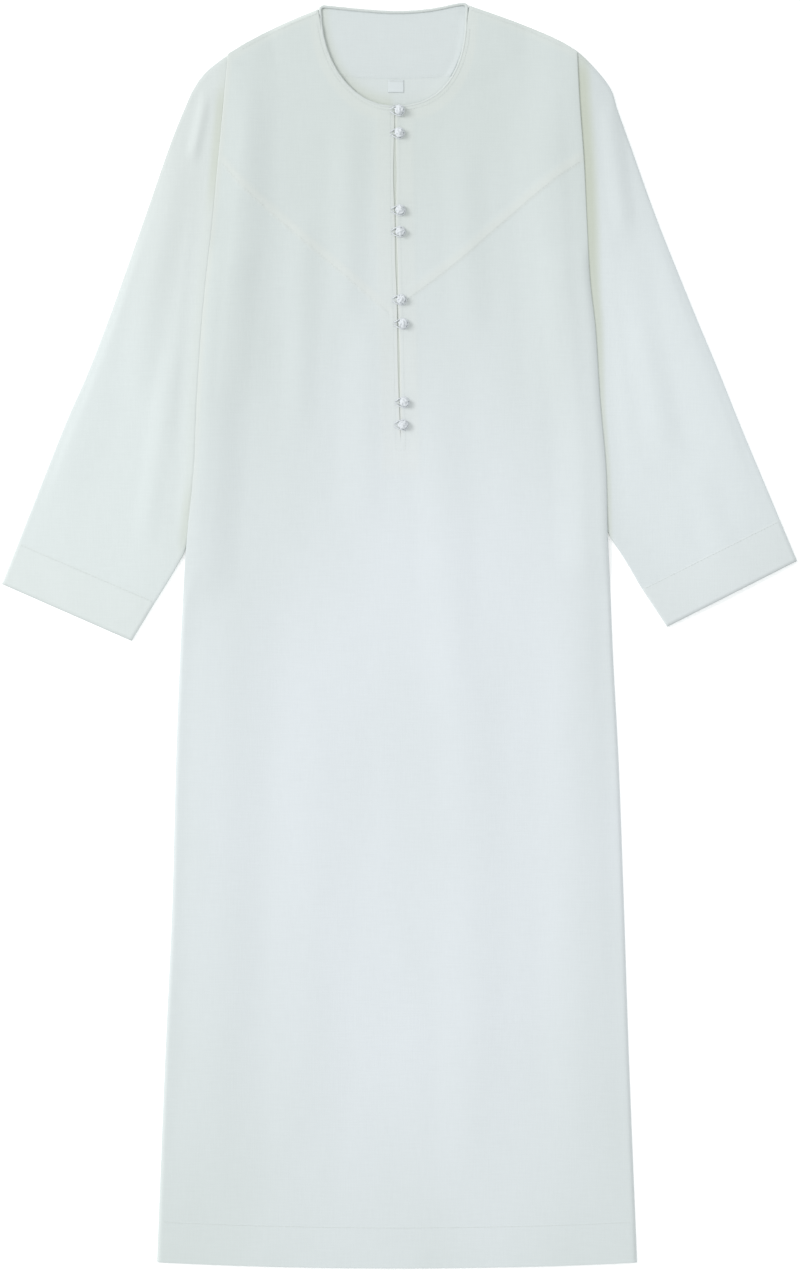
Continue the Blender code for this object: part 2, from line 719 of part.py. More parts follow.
def facing(collection):
    """The back neck facing, laid on the back and running a little way under the front."""
    columns, lines = FACING_COLUMNS, FACING_LINES

    def half(y):
        power = NECK_SQUARENESS["right"]
        drop = clamp((NECK_TOP - y) / (NECK_TOP - NECK_BOTTOM))
        oval = NECK_HALF * (1 - drop ** power) ** (1 / power)
        return min(oval + FACING_UNDER, FACING_LOW_HALF + FACING_WIDEN * (NECK_TOP - y))

    def place(column, line):
        y = lerp(FACING_LOW, NECK_TOP - FACING_HIGH, line / (lines - 1))
        x = NECK_X + lerp(-1, 1, column / (columns - 1)) * half(y)
        if line == 0:
            y -= FACING_SAG * (1 - ((x - NECK_X) / half(y)) ** 2)
        if line == lines - 1:
            y = read(BACK_NECK, x) - 2 * BINDING_RADIUS - 3 * GAP
        return x, y

    def under(x, y, column, line):
        return LAYER

    def over(x, y, column, line):
        return LAYER + FACING

    wall("back_neck_facing", columns, lines, place, under, over, collection, "inside")


def size_label(collection):
    width, height = LABEL
    x, y = LABEL_AT
    bpy.ops.mesh.primitive_cube_add(size=1, location=(x, y, LAYER + FACING / 2))
    piece = bpy.context.object
    piece.name = "size_label"
    piece.data.name = "size_label"
    piece.data.transform(Matrix.Diagonal((width, height, FACING, 1)))
    piece.data.materials.append(material("size_label.label"))
    for owner in list(piece.users_collection):
        owner.objects.unlink(piece)
    collection.objects.link(piece)


def button(number, x, y, collection):
    """A cord knotted into a ball, here its plain rounded body."""
    reach = (-LOOP_TAIL, 0.0, LOOP_RADIUS)
    rest = max(front_top(x + dx, y + dy) for dx in reach for dy in reach) + GAP
    if y + LOOP_RADIUS + LOOP_CORD > NECK_BOTTOM - 2 * BINDING_RADIUS:
        rest += 2 * BINDING_RADIUS - CLOTH
    bm = bmesh.new()
    bmesh.ops.create_uvsphere(bm, u_segments=BUTTON_SIDES, v_segments=BUTTON_RINGS, radius=1.0)
    for vert in bm.verts:
        vert.co = (vert.co.x * BUTTON_RADIUS, vert.co.y * BUTTON_RADIUS, vert.co.z * BUTTON_HEIGHT / 2)
    mesh = bpy.data.meshes.new(f"button_{number}")
    bm.to_mesh(mesh)
    bm.free()
    piece = finish(f"button_{number}", mesh, "knot", collection, 60)
    piece.location = (x, y, rest + BUTTON_HEIGHT / 2)
    return rest


def loop(number, x, y, rest, collection):
    """The cord loop round a button's foot, with its two ends at the slit's other edge."""
    height = rest + LOOP_CORD
    turn = [math.radians(angle) for angle in range(-LOOP_REACH, LOOP_REACH + 1, LOOP_STEP)]
    back, aside = LOOP_PINCH
    route = [(x + LOOP_RADIUS * math.cos(a), y + LOOP_RADIUS * math.sin(a), height) for a in turn]
    start = [(x - LOOP_TAIL, y - LOOP_END, height), (x - back, y - aside, height)]
    end = [(x - back, y + aside, height), (x - LOOP_TAIL, y + LOOP_END, height)]
    route = start + route + end
    curve = bpy.data.curves.new(f"loop_{number}", "CURVE")
    curve.dimensions = "3D"
    curve.bevel_depth = LOOP_CORD
    curve.bevel_resolution = 0
    curve.use_fill_caps = True
    line = curve.splines.new("POLY")
    line.points.add(len(route) - 1)
    for point, at in zip(line.points, route):
        point.co = (*at, 1)
    curve.materials.append(material(f"loop_{number}.knot"))
    collection.objects.link(bpy.data.objects.new(f"loop_{number}", curve))


def build():
    for old in list(bpy.data.objects):
        bpy.data.objects.remove(old, do_unlink=True)
    collection = bpy.data.collections.new("thobe_robe")
    bpy.context.scene.collection.children.link(collection)
    back_panel(collection)
    front_skirt(collection)
    for which in ("right", "left"):
        yoke(which, collection)
        sleeve(which, collection)
    binding(collection)
    facing(collection)
    size_label(collection)
    for number, (x, y) in enumerate(rows(BUTTONS), 1):
        rest = button(number, x, y, collection)
        loop(number, x, y, rest, collection)


build()
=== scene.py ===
# %% [markdown]
# # A child's thobe, laid flat
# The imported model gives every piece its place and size. This script dresses it: each plain
# cloth wall is replaced by a thin, softly creased shell, and the buttons by knotted cord.
# The robe lies on z = 0 with its neck towards +Y, so the camera looks straight down.

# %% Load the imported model
import math

import bmesh
import bpy
from mathutils import Matrix, Vector, noise


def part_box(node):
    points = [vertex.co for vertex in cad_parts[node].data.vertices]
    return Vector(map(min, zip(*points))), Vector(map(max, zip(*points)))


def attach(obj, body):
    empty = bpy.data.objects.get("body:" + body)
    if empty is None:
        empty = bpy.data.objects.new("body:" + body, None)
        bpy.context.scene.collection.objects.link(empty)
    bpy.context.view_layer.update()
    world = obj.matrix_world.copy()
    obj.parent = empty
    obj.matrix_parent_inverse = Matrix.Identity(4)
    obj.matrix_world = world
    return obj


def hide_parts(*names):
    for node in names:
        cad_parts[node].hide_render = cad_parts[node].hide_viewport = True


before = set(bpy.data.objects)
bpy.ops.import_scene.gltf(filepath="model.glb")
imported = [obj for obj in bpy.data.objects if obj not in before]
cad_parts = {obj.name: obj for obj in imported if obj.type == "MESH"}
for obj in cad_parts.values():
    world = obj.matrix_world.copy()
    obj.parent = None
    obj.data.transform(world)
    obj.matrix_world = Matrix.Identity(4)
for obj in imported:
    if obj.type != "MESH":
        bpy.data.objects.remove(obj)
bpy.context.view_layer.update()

# %% [markdown]
# ## Sizes
# A pattern cutter works from a few measures, and so does this script. The cloth's thickness and
# the air between its layers say how high each panel lies. The outline is a short table for each
# edge, in metres, and a smooth curve through its rows gives every point between them.

# %% Cloth, layers and hems
CLOTH = 0.0012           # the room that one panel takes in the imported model
AIR = 0.0003
LAYER = CLOTH + AIR
TUBE = 2 * CLOTH + AIR   # a sleeve pressed flat
SHELL = 0.0007           # the visible cloth
TUCK = 0.014             # width of sleeve hidden under the body
FRONT_RAMP = 0.030
BACK_RAMP = 0.018
HEM_DEPTH = 0.035
CUFF_DEPTH = 0.038
HEM_Y = -0.5215
HEM_SAG = 0.0050         # the hem hangs lower at its middle
HEM_HALF = 0.2
UNDERARM_Y = 0.2789
LEAVE_Y = {"right": 0.0726, "left": 0.0859}    # where each sleeve comes out from under the body
SIDES = ("right", "left")                      # the wearer's right is at -X


def sign(which):
    return -1 if which == "right" else 1


print("one layer", round(LAYER * 1000, 1), "mm, a sleeve", round(TUBE * 1000, 1), "mm")


# %% Outline tables
SIDE_EDGES = (
    ("y", "right", "left"),
    (0.4870, -0.1425, 0.1477),
    (0.4395, -0.1468, 0.1502),
    (0.3954, -0.1510, 0.1535),
    (0.3438, -0.1560, 0.1560),
    (0.2956, -0.1614, 0.1585),
    (0.2540, -0.1652, 0.1631),
    (0.1957, -0.1689, 0.1668),
    (0.1375, -0.1714, 0.1718),
    (0.0859, -0.1764, 0.1731),
    (0.0460, -0.1793, 0.1751),
    (-0.0164, -0.1826, 0.1776),
    (-0.1038, -0.1860, 0.1822),
    (-0.2286, -0.1893, 0.1868),
    (-0.3534, -0.1951, 0.1909),
    (-0.5300, -0.2022, 0.1980),
)
SHOULDERS = {
    "right": (("x", "y"), (-0.1425, 0.4837), (-0.1260, 0.4936), (-0.0969, 0.5086), (-0.0645, 0.5222)),
    "left": (("x", "y"), (0.1477, 0.4857), (0.1344, 0.4936), (0.1011, 0.5086), (0.0553, 0.5250)),
}
BACK_NECK = (("x", "y"), (-0.0600, 0.5239), (-0.0304, 0.5210), (-0.0021, 0.5194), (0.0254, 0.5212),
             (0.0505, 0.5262))
SLIT = (("y", "x"), (0.4412, -0.0037), (0.3621, -0.0037), (0.2789, -0.0017), (0.1999, 0.0000),
        (0.1600, 0.0010))
V_SEAM = {
    "right": (("x", "y"), (-0.1510, 0.3954), (-0.1327, 0.3738), (-0.0894, 0.3350), (-0.0437, 0.2964),
              (-0.0020, 0.2606)),
    "left": (("x", "y"), (0.1535, 0.3945), (0.1277, 0.3771), (0.0811, 0.3380), (0.0487, 0.3097),
             (-0.0008, 0.2723)),
}
SLEEVES = {
    "right": (
        ("outer_x", "outer_y", "inner_y", "under"),
        (-0.1298, 0.4892, 0.2789, TUCK),
        (-0.1431, 0.4824, 0.2456, TUCK),
        (-0.1610, 0.4686, 0.2124, TUCK),
        (-0.1718, 0.4536, 0.1874, TUCK),
        (-0.1785, 0.4387, 0.1624, TUCK),
        (-0.1909, 0.4079, 0.1370, 0.0120),
        (-0.2126, 0.3455, 0.1084, 0.0078),
        (-0.2392, 0.2706, 0.0726, 0.0000),
        (-0.2583, 0.2207, 0.0584, -0.0059),
        (-0.2800, 0.1708, 0.0430, -0.0140),
        (-0.3167, 0.0779, 0.0278, -0.0226),
        (-0.3307, 0.0426, -0.0048, -0.0406),
    ),
    "left": (
        ("outer_x", "outer_y", "inner_y", "under"),
        (0.1345, 0.4916, 0.2789, TUCK),
        (0.1481, 0.4853, 0.2456, TUCK),
        (0.1643, 0.4695, 0.2124, TUCK),
        (0.1760, 0.4536, 0.1874, TUCK),
        (0.1814, 0.4370, 0.1624, 0.0130),
        (0.1918, 0.4079, 0.1416, 0.0113),
        (0.2142, 0.3455, 0.1125, 0.0068),
        (0.2442, 0.2706, 0.0859, 0.0000),
        (0.2650, 0.2207, 0.0660, -0.0113),
        (0.2850, 0.1708, 0.0500, -0.0200),
        (0.3160, 0.0968, 0.0386, -0.0261),
        (0.3307, 0.0618, 0.0069, -0.0459),
    ),
}
print("cuff to cuff", round(SLEEVES["left"][-1][0] - SLEEVES["right"][-1][0], 3))

# %% Neck and slit
NECK_X = -0.0050
NECK_HALF = 0.0595
NECK_TOP = 0.5180
NECK_BOTTOM = 0.4408
NECK_SQUARENESS = {"right": 2.0, "left": 2.4}
NECK_CORNER = {"right": (-0.0660, 0.5230), "left": (0.0561, 0.5249)}    # where shoulder and back meet
BACK_NECK_SPAN = (-0.0600, 0.0505)
BINDING_RADIUS = 0.0013
NECK_TURN = 2 * BINDING_RADIUS - 2 * AIR    # the panels end this far outside the piping's rim
SLIT_END = 0.1600
SLIT_OPEN = (("y", "half"), (0.4412, 0.0005), (0.4270, 0.0004), (0.4080, 0.0008), (0.3850, 0.0013),
             (0.3640, 0.0009), (0.3450, 0.0004), (0.3070, 0.0009), (0.2890, 0.0005), (0.2680, 0.0004),
             (0.2250, 0.0008), (0.1940, 0.0004), (0.1600, 0.0))
print("neck", round(2 * NECK_HALF, 3), "wide, slit", round(NECK_BOTTOM - SLIT_END, 3), "long")

# %% [markdown]
# ## Small tools
# Everything that follows asks the same questions: how far along is this, and how high is the cloth
# here? A smooth curve through a table is a cubic between each two rows, with the slope at a row
# taken from its neighbours, which keeps an edge free of corners.

# %% Blends and curves
def lerp(a, b, t):
    return a + (b - a) * t


def clamp(t):
    return max(0.0, min(1.0, t))


def smooth(t):
    t = clamp(t)
    return t * t * (3 - 2 * t)


def through(table, column=1, key=0):
    """A smooth function through one column of a table, over its key column."""
    points = sorted((row[key], row[column]) for row in table[1:])
    slopes = []
    for index in range(len(points)):
        low, high = points[max(index - 1, 0)], points[min(index + 1, len(points) - 1)]
        slopes.append((high[1] - low[1]) / (high[0] - low[0]))

    def at(value):
        if value <= points[0][0]:
            return points[0][1]
        if value >= points[-1][0]:
            return points[-1][1]
        index = max(i for i, point in enumerate(points) if point[0] <= value)
        (x0, y0), (x1, y1) = points[index], points[index + 1]
        span = x1 - x0
        t = (value - x0) / span
        between_rows = (2 * t ** 3 - 3 * t ** 2 + 1) * y0 + (3 * t ** 2 - 2 * t ** 3) * y1
        bend = (t ** 3 - 2 * t ** 2 + t) * slopes[index] + (t ** 3 - t ** 2) * slopes[index + 1]
        return between_rows + span * bend

    return at


side_curve = {which: through(SIDE_EDGES, column) for column, which in enumerate(SIDES, 1)}
shoulder_curve = {which: through(SHOULDERS[which]) for which in SIDES}
seam_curve = {which: through(V_SEAM[which]) for which in SIDES}
slit_x = through(SLIT)
slit_gap = through(SLIT_OPEN)    # half its width: it gapes between two pairs of buttons
back_neck_y = through(BACK_NECK)
print("slit open by", round(2000 * slit_gap(0.385), 1), "mm between the two upper pairs of buttons")


# %% Distances from the edges
def side(y, which):
    return side_curve[which](y)


def from_side(x, y, which):
    """How far a point lies inside the body's side edge; less than 0 is out beside it."""
    return (x - side(y, which)) * -sign(which)


def shoulder_y(x):
    return shoulder_curve["right" if x < NECK_X else "left"](x)


def hem_y(x):
    return HEM_Y - HEM_SAG * (1 - (x / HEM_HALF) ** 2)


def neck_point(angle, which, out=0.0):
    """A point of the front neck edge, from 0 at the shoulder to a quarter turn at the middle."""
    power = 2 / NECK_SQUARENESS[which]
    x = (NECK_HALF + out) * max(math.cos(angle), 0.0) ** power
    y = (NECK_TOP - NECK_BOTTOM + out) * math.sin(angle) ** power
    return NECK_X + sign(which) * x, NECK_TOP - y


def from_neck(x, y):
    """About how far a point of the front lies outside the neck edge."""
    power = NECK_SQUARENESS["right" if x < NECK_X else "left"]
    across = abs(x - NECK_X) / NECK_HALF
    down = max(NECK_TOP - y, 0.0) / (NECK_TOP - NECK_BOTTOM)
    level = (across ** power + down ** power) ** (1 / power)
    return (level - 1) * NECK_HALF


print("shoulder to shoulder", round(side(0.48, "left") - side(0.48, "right"), 3))

# %% [markdown]
# ## How high the cloth lies
# A flat robe is a low landscape. The sleeves are pressed tubes on the surface. The body's back and
# front climb over the strip of sleeve that is tucked beneath them, and come down below it. On top of
# that, long soft folds run down from the shoulders. Each fold is a ridge with rounded sides that
# tapers to both ends, and no two have the same length, width or height.

# %% Folds
BODY_FOLDS = (
    ("x0", "y0", "x1", "y1", "half", "height"),
    (-0.1240, 0.4750, -0.1330, 0.1700, 0.017, 0.0022),
    (-0.0790, 0.3700, -0.0850, 0.1500, 0.011, 0.0012),
    (-0.0420, 0.4450, -0.0440, 0.2400, 0.012, 0.0013),
    (-0.0240, 0.2900, -0.0330, 0.0700, 0.016, 0.0012),
    (0.1130, 0.4750, 0.1330, 0.1700, 0.018, 0.0021),
    (0.0520, 0.4300, 0.0600, 0.2300, 0.014, 0.0012),
    (0.0300, 0.2300, 0.0480, -0.0900, 0.018, 0.0012),
    (-0.1420, 0.1200, -0.1520, -0.5100, 0.026, 0.0018),
    (0.0560, 0.0600, 0.0620, -0.5050, 0.022, 0.0012),
    (0.1460, 0.1300, 0.1500, -0.5000, 0.024, 0.0016),
    (-0.0700, -0.0200, -0.0860, -0.4700, 0.028, 0.0011),
)
BACK_FOLDS = (
    ("x0", "y0", "x1", "y1", "half", "height"),
    (-0.1080, 0.4300, -0.1210, 0.0900, 0.016, 0.0007),
    (-0.0380, 0.4600, -0.0560, -0.0400, 0.020, 0.0005),
    (0.0210, 0.3900, 0.0090, -0.2100, 0.024, 0.0006),
    (0.0940, 0.4500, 0.1190, 0.1300, 0.015, 0.0007),
    (-0.1310, 0.0200, -0.1470, -0.4900, 0.022, 0.0006),
    (0.0830, -0.0300, 0.1020, -0.4600, 0.026, 0.0005),
)
SLEEVE_FOLDS = (
    ("x0", "y0", "x1", "y1", "half", "height"),
    (-0.1577, 0.4560, -0.1740, 0.3900, 0.0050, 0.0016),
    (-0.1560, 0.4560, -0.1490, 0.4250, 0.0035, 0.0010),
    (-0.1790, 0.4250, -0.2250, 0.1800, 0.012, 0.0016),
    (-0.1980, 0.3700, -0.2950, 0.0900, 0.020, 0.0016),
    (-0.1850, 0.2600, -0.2150, 0.0600, 0.009, 0.0010),
    (0.1720, 0.4550, 0.1890, 0.3200, 0.008, 0.0018),
    (0.1870, 0.3400, 0.2250, 0.1300, 0.012, 0.0014),
    (0.2050, 0.3500, 0.2920, 0.1000, 0.020, 0.0015),
    (0.2420, 0.1500, 0.2750, 0.0500, 0.012, 0.0008),
)
FOLD_FADE = 0.022         # folds die out this far from an edge
FOLD_FOOT = 1.6           # a fold has died out at this many times its half width
FOLD_TAPER = 0.25         # share of its length over which each end rises


def ridge(x, y, fold):
    """The height that one fold adds at a point."""
    x0, y0, x1, y1, half, height = fold
    run_x, run_y = x1 - x0, y1 - y0
    length = run_x * run_x + run_y * run_y
    along = ((x - x0) * run_x + (y - y0) * run_y) / length
    if along <= 0 or along >= 1:
        return 0.0
    across = abs((x - x0) * run_y - (y - y0) * run_x) / math.sqrt(length)
    if across >= FOLD_FOOT * half:
        return 0.0
    ends = smooth(along / FOLD_TAPER) * smooth((1 - along) / FOLD_TAPER)
    return height * ends * smooth(1 - across / (FOLD_FOOT * half))


def folds(x, y, table):
    return sum(ridge(x, y, fold) for fold in table[1:])


def ripple(x, y, seed):
    """The slight unevenness of cloth that was smoothed down by hand, longer than it is wide."""
    slow = noise.noise(Vector((x * 16, y * 5, seed)))
    fast = noise.noise(Vector((x * 48, y * 17, seed + 5)))
    return 0.00055 * slow + 0.00018 * fast


print("folds:", len(BODY_FOLDS) + len(BACK_FOLDS) + len(SLEEVE_FOLDS) - 3)

# %% Lifts over the sleeves
TUCK_CLEAR = TUCK + 0.003    # the body starts to come down this far inside its edge
LEAVE_CLEAR = 0.012          # it stays up for this long below where a sleeve leaves it
SETTLE = 0.040               # and sinks back to the surface over this length
UNDERARM_RAMP = 0.020
BACK_SETTLE = 0.026          # above the underarm the back has come down beside the sleeve by here
BACK_PRESSED = 0.9           # the share of a sleeve's height by which the back rises over it
BACK_REST = 0.0009           # height of the back's upper face where it lies on the surface
NECK_CLIMB = {"right": 0.0004, "left": 0.0012}
CLIMB_WIDTH = 0.005


def over_sleeve(x, y, ramp):
    """How far the tucked strip of sleeve lifts what lies on it."""
    lift = 0.0
    for which in SIDES:
        inward = smooth((TUCK_CLEAR + ramp - from_side(x, y, which)) / ramp)
        start = LEAVE_Y[which] - LEAVE_CLEAR
        lift = max(lift, inward * smooth((y - (start - SETTLE)) / SETTLE))
    return lift * 2 * LAYER


def neck_climb(x, y):
    """Inside the neck the back rises to meet the piping, more so on the wearer's left."""
    within = -from_neck(x, y)
    if y < NECK_BOTTOM - 0.004 or within < -0.004:
        return 0.0
    beside = smooth((abs(x - NECK_X) - 0.020) / 0.020)
    under_top = smooth((NECK_TOP + 0.001 - y) / 0.010)
    high = NECK_CLIMB["right" if x < NECK_X else "left"]
    return high * beside * smooth((CLIMB_WIDTH - within) / CLIMB_WIDTH) * under_top


def back_top(x, y):
    lift = over_sleeve(x, y, BACK_RAMP) * clamp((UNDERARM_Y + BACK_SETTLE - y) / UNDERARM_RAMP)
    return lift * BACK_PRESSED + BACK_REST + folds(x, y, BACK_FOLDS) + neck_climb(x, y)


def inside(x, y):
    """How far a point of the front lies from its nearer side edge."""
    return min(from_side(x, y, "right"), from_side(x, y, "left"))


print("back", round(back_top(0, 0) * 1000, 2), "mm high in its middle")


# %% [markdown]
# Where the armhole seam is folded in under the front, its edge stands up as a soft welt. It is
# lower on the wearer's left, where the front's edge throws the long shadow beside the arm.

# %% Welt and rounded edges
WELT = {"right": 0.0004, "left": 0.0003}
WELT_IN = 0.010           # its crest lies this far inside the side edge
WELT_OUT = 0.036          # and it has died out this far inside
WELT_SPAN = (0.105, 0.478)
WELT_TAPER = (0.120, 0.030)


def welt(x, y):
    which = "right" if x < 0 else "left"
    inward = from_side(x, y, which)
    across = smooth(inward / WELT_IN) * smooth((WELT_OUT - inward) / (WELT_OUT - WELT_IN))
    along = smooth((WELT_SPAN[1] - y) / WELT_TAPER[1]) * smooth((y - WELT_SPAN[0]) / WELT_TAPER[0])
    return WELT[which] * across * along


def drop(distance, radius):
    """How far a rounded edge falls away at a distance inside it."""
    if distance >= radius:
        return 0.0
    inward = radius - max(distance, 0.0)
    return radius - math.sqrt(max(radius * radius - inward * inward, 0.0))


print("welt", round(welt(side(0.3, "right") + WELT_IN, 0.3) * 1000, 2), "mm high")

# %% Relief of seam, slit facing and hem
SEAM_RAISE = 0.00028
SEAM_POINT_Y = 0.27       # about where the two arms of the V meet
SEAM_SQUARE = 0.76        # cosine of their slope
ALLOWANCE = 0.0090        # width of the seam allowance that is pressed up under the yoke
PUCKER = {"right": 0.00034, "left": 0.00010}
PLACKET_LOW = 0.1350      # the slit's facing reaches down to here
PLACKET_HALF = 0.0179
PLACKET_RAISE = 0.00015
STITCH_IN = 0.0040
HEM_RAISE = 0.0003
UNDERLAP_HALF = 0.0080
UNDERLAP_SHELL = 0.0004
UNDERLAP_RISE = 0.0006   # the strip under the slit swells this much into it


def above_seam(x, y):
    """About how far a point lies above the V seam, square to it."""
    which = "right" if x < slit_x(SEAM_POINT_Y) else "left"
    return (y - seam_curve[which](x)) * SEAM_SQUARE


def seam_relief(x, y):
    """The pressed allowance above the seam, and its puckers."""
    above = above_seam(x, y)
    if not -0.004 < above < ALLOWANCE + 0.004:
        return 0.0
    raised = SEAM_RAISE * smooth((ALLOWANCE - above) / 0.003) * smooth((above + 0.0020) / 0.0042)
    uneven = noise.noise(Vector((x * 300, y * 120, 0))) * (1 - smooth(abs(above - 0.001) / 0.005))
    return raised + PUCKER["right" if x < 0 else "left"] * uneven


def placket_relief(x, y):
    """The facing behind the slit makes the front a little thicker there."""
    across = smooth((PLACKET_HALF - abs(x - slit_x(y))) / 0.0030)
    return PLACKET_RAISE * across * smooth((y - PLACKET_LOW) / 0.0020)


def hem_relief(x, y):
    return HEM_RAISE * smooth((hem_y(x) + HEM_DEPTH - y) / 0.0016)


print("seam allowance", round(seam_relief(0.05, seam_curve["left"](0.05) + 0.006) * 1000, 2), "mm proud")

# %% The front's whole height
FRONT_SETTLE = 0.030      # above the underarm the front starts to come down onto the sleeve here
NECK_LIFT = 0.0009        # the facing lifts the front this much
FACING_MIDDLE_Y = 0.500
FACING_REACH = (0.086, 0.0444)    # half of the oval over which it does
FACING_FADE = 0.35
FOLDED_EDGE = 0.0007      # radius of a folded edge
EDGE_ROLL = 0.0006        # and of a turned one
PLAIN_SLOPE = 0.0034      # the body slopes down to its edge over this width,
EDGE_SLOPE = {"right": 0.0130, "left": 0.0056}    # and over this where it lies on a sleeve


def near_neck(x, y):
    reach = math.hypot((x - NECK_X) / FACING_REACH[0], (y - FACING_MIDDLE_Y) / FACING_REACH[1])
    return smooth((1 + FACING_FADE - reach) / FACING_FADE)


def front_rest(x, y):
    """The front's height where nothing creases it."""
    upward = smooth((y - UNDERARM_Y - FRONT_SETTLE) / UNDERARM_RAMP)
    on_tube = over_sleeve(x, y, FRONT_RAMP)
    lift = lerp(on_tube, on_tube / 2, upward)
    return LAYER + max(lift, NECK_LIFT * near_neck(x, y))


def front_top(x, y):
    """The front's outer surface, away from its edges."""
    edge = smooth(inside(x, y) / FOLD_FADE) * smooth((shoulder_y(x) - y) / FOLD_FADE)
    height = front_rest(x, y) + CLOTH + welt(x, y)
    height += (folds(x, y, BODY_FOLDS) + ripple(x, y, 3) + 0.0002) * edge
    return height + seam_relief(x, y) + placket_relief(x, y) + hem_relief(x, y)


def front_height(x, y):
    """The outer surface, which comes down at its edges to what it lies on."""
    height = front_top(x, y)
    beneath = over_sleeve(x, y, FRONT_RAMP)
    edge = min(inside(x, y), (shoulder_y(x) - y) * 0.9)
    which = "right" if x < NECK_X else "left"
    soft = lerp(PLAIN_SLOPE, EDGE_SLOPE[which], clamp(beneath / (2 * LAYER)))
    if edge < soft:
        low = beneath + FOLDED_EDGE + 0.0001
        height = low + (height - low) * (1 - (1 - clamp(edge / soft)) ** 2)
        height -= drop(edge, FOLDED_EDGE)
    slit = abs(x - slit_x(y)) - slit_gap(y)
    height -= 0.45 * drop(slit, EDGE_ROLL) * smooth((y - SLIT_END) / 0.02)
    at_hem = height - 0.8 * drop(y - hem_y(x), EDGE_ROLL)
    return max(at_hem, min(height, SHELL))


print("front over the chest", round(front_top(0.05, 0.35) * 1000, 2), "mm high")

# %% [markdown]
# ## Camera, light and floor
# The photograph is a catalogue shot from straight above. A long lens far away keeps the sides
# parallel, as it does there. One large soft light up and to the left gives each fold a bright and a
# dark side, and an even pale sky fills the shadows.

# %% Camera
PHOTO_LONG_SIDE = 1.0575       # metres of table along the picture's long side
DISTANCE = 4.0
camera_data = bpy.data.cameras.new("camera")
camera_data.sensor_width = 36
camera_data.lens = 36 * DISTANCE / PHOTO_LONG_SIDE
camera_data.clip_end = 50
camera = bpy.data.objects.new("camera", camera_data)
camera.location = (0.0004, -0.0002, DISTANCE)
bpy.context.scene.collection.objects.link(camera)
bpy.context.scene.camera = camera
print("lens", round(camera_data.lens, 1), "mm")


# %% Lights
KEY_AT = (-6.0, 2.4, 5.4)
key_data = bpy.data.lights.new("key", "AREA")
key_data.size = 3.2
key_data.energy = 330
key = bpy.data.objects.new("key", key_data)
key.location = KEY_AT
key.rotation_euler = (-Vector(KEY_AT)).to_track_quat("-Z", "Y").to_euler()
bpy.context.scene.collection.objects.link(key)
world = bpy.data.worlds.new("studio")
bpy.context.scene.world = world
world.use_nodes = True
sky = world.node_tree.nodes["Background"].inputs
sky["Color"].default_value = (0.97, 1.0, 1.0, 1)
sky["Strength"].default_value = 0.82
bpy.context.scene.view_settings.view_transform = "Standard"
print("key", key_data.energy, "W, sky", round(sky["Strength"].default_value, 2))

# %% Floor
bpy.ops.mesh.primitive_plane_add(size=14, location=(0, 0, -0.0002))
floor = bpy.context.object
floor.name = "floor"
floor_paint = bpy.data.materials.new("floor_paint")
floor_paint.use_nodes = True
paint = floor_paint.node_tree.nodes["Principled BSDF"].inputs
paint["Base Color"].default_value = (0.96, 0.96, 0.96, 1)
paint["Roughness"].default_value = 0.9
paint["Emission Color"].default_value = (1, 1, 1, 1)
paint["Emission Strength"].default_value = 0.25
floor.data.materials.append(floor_paint)
print("floor at", round(floor.location.z * 1000, 2), "mm")


# %% [markdown]
# ## Materials
# The robe is cut from a light plain weave, off-white, cooler where one layer lies smooth and
# creamier where seams put two or three layers together. Its threads are finer than the camera can
# part, so up close they are a shallow bump of two crossed waves, and from afar only slubs show:
# thicker stretches of thread, long in one direction and narrow in the other.

# %% Small node helpers
def node(tree, kind, **inputs):
    made = tree.nodes.new(kind)
    for name, value in inputs.items():
        made.inputs[name.replace("_", " ")].default_value = value
    return made


def mix(tree, factor, first, second):
    """A colour mix; each argument is a socket or a plain value."""
    made = tree.nodes.new("ShaderNodeMix")
    made.data_type = "RGBA"
    sockets = [s for s in made.inputs if s.enabled]
    for socket, value in zip(sockets, (factor, first, second)):
        if isinstance(value, bpy.types.NodeSocket):
            tree.links.new(value, socket)
        else:
            socket.default_value = value if isinstance(value, (int, float)) else (*value, 1)
    return next(s for s in made.outputs if s.enabled)


def between(tree, socket, low, high, to_low=0.0, to_high=1.0):
    made = node(tree, "ShaderNodeMapRange", From_Min=low, From_Max=high, To_Min=to_low, To_Max=to_high)
    tree.links.new(socket, made.inputs["Value"])
    return made.outputs["Result"]


def math_node(tree, what, first, second):
    made = tree.nodes.new("ShaderNodeMath")
    made.operation = what
    for socket, value in zip(made.inputs, (first, second)):
        if isinstance(value, bpy.types.NodeSocket):
            tree.links.new(value, socket)
        else:
            socket.default_value = value
    return made.outputs[0]


def scaled(tree, socket, scale, shift=(0, 0, 0)):
    made = node(tree, "ShaderNodeMapping", Scale=scale, Location=shift)
    tree.links.new(socket, made.inputs["Vector"])
    return made.outputs["Vector"]


# %% Weave and slubs
def thread_waves(tree, place, pitch):
    """Two crossed wave patterns, one thread apart."""
    waves = []
    for direction in ("X", "Y"):
        wave = node(tree, "ShaderNodeTexWave", Scale=0.314 / pitch, Distortion=1.2, Detail_Scale=2.0)
        wave.bands_direction = direction
        tree.links.new(place, wave.inputs["Vector"])
        waves.append(wave.outputs["Fac"])
    return math_node(tree, "ADD", *waves)


def slubs(tree, place, long_way):
    """Streaks along the warp or the weft."""
    scale = (900, 55, 1) if long_way == "Y" else (55, 900, 1)
    streak = node(tree, "ShaderNodeTexNoise", Scale=1.0, Detail=2.0)
    tree.links.new(scaled(tree, place, scale), streak.inputs["Vector"])
    return streak.outputs["Fac"]


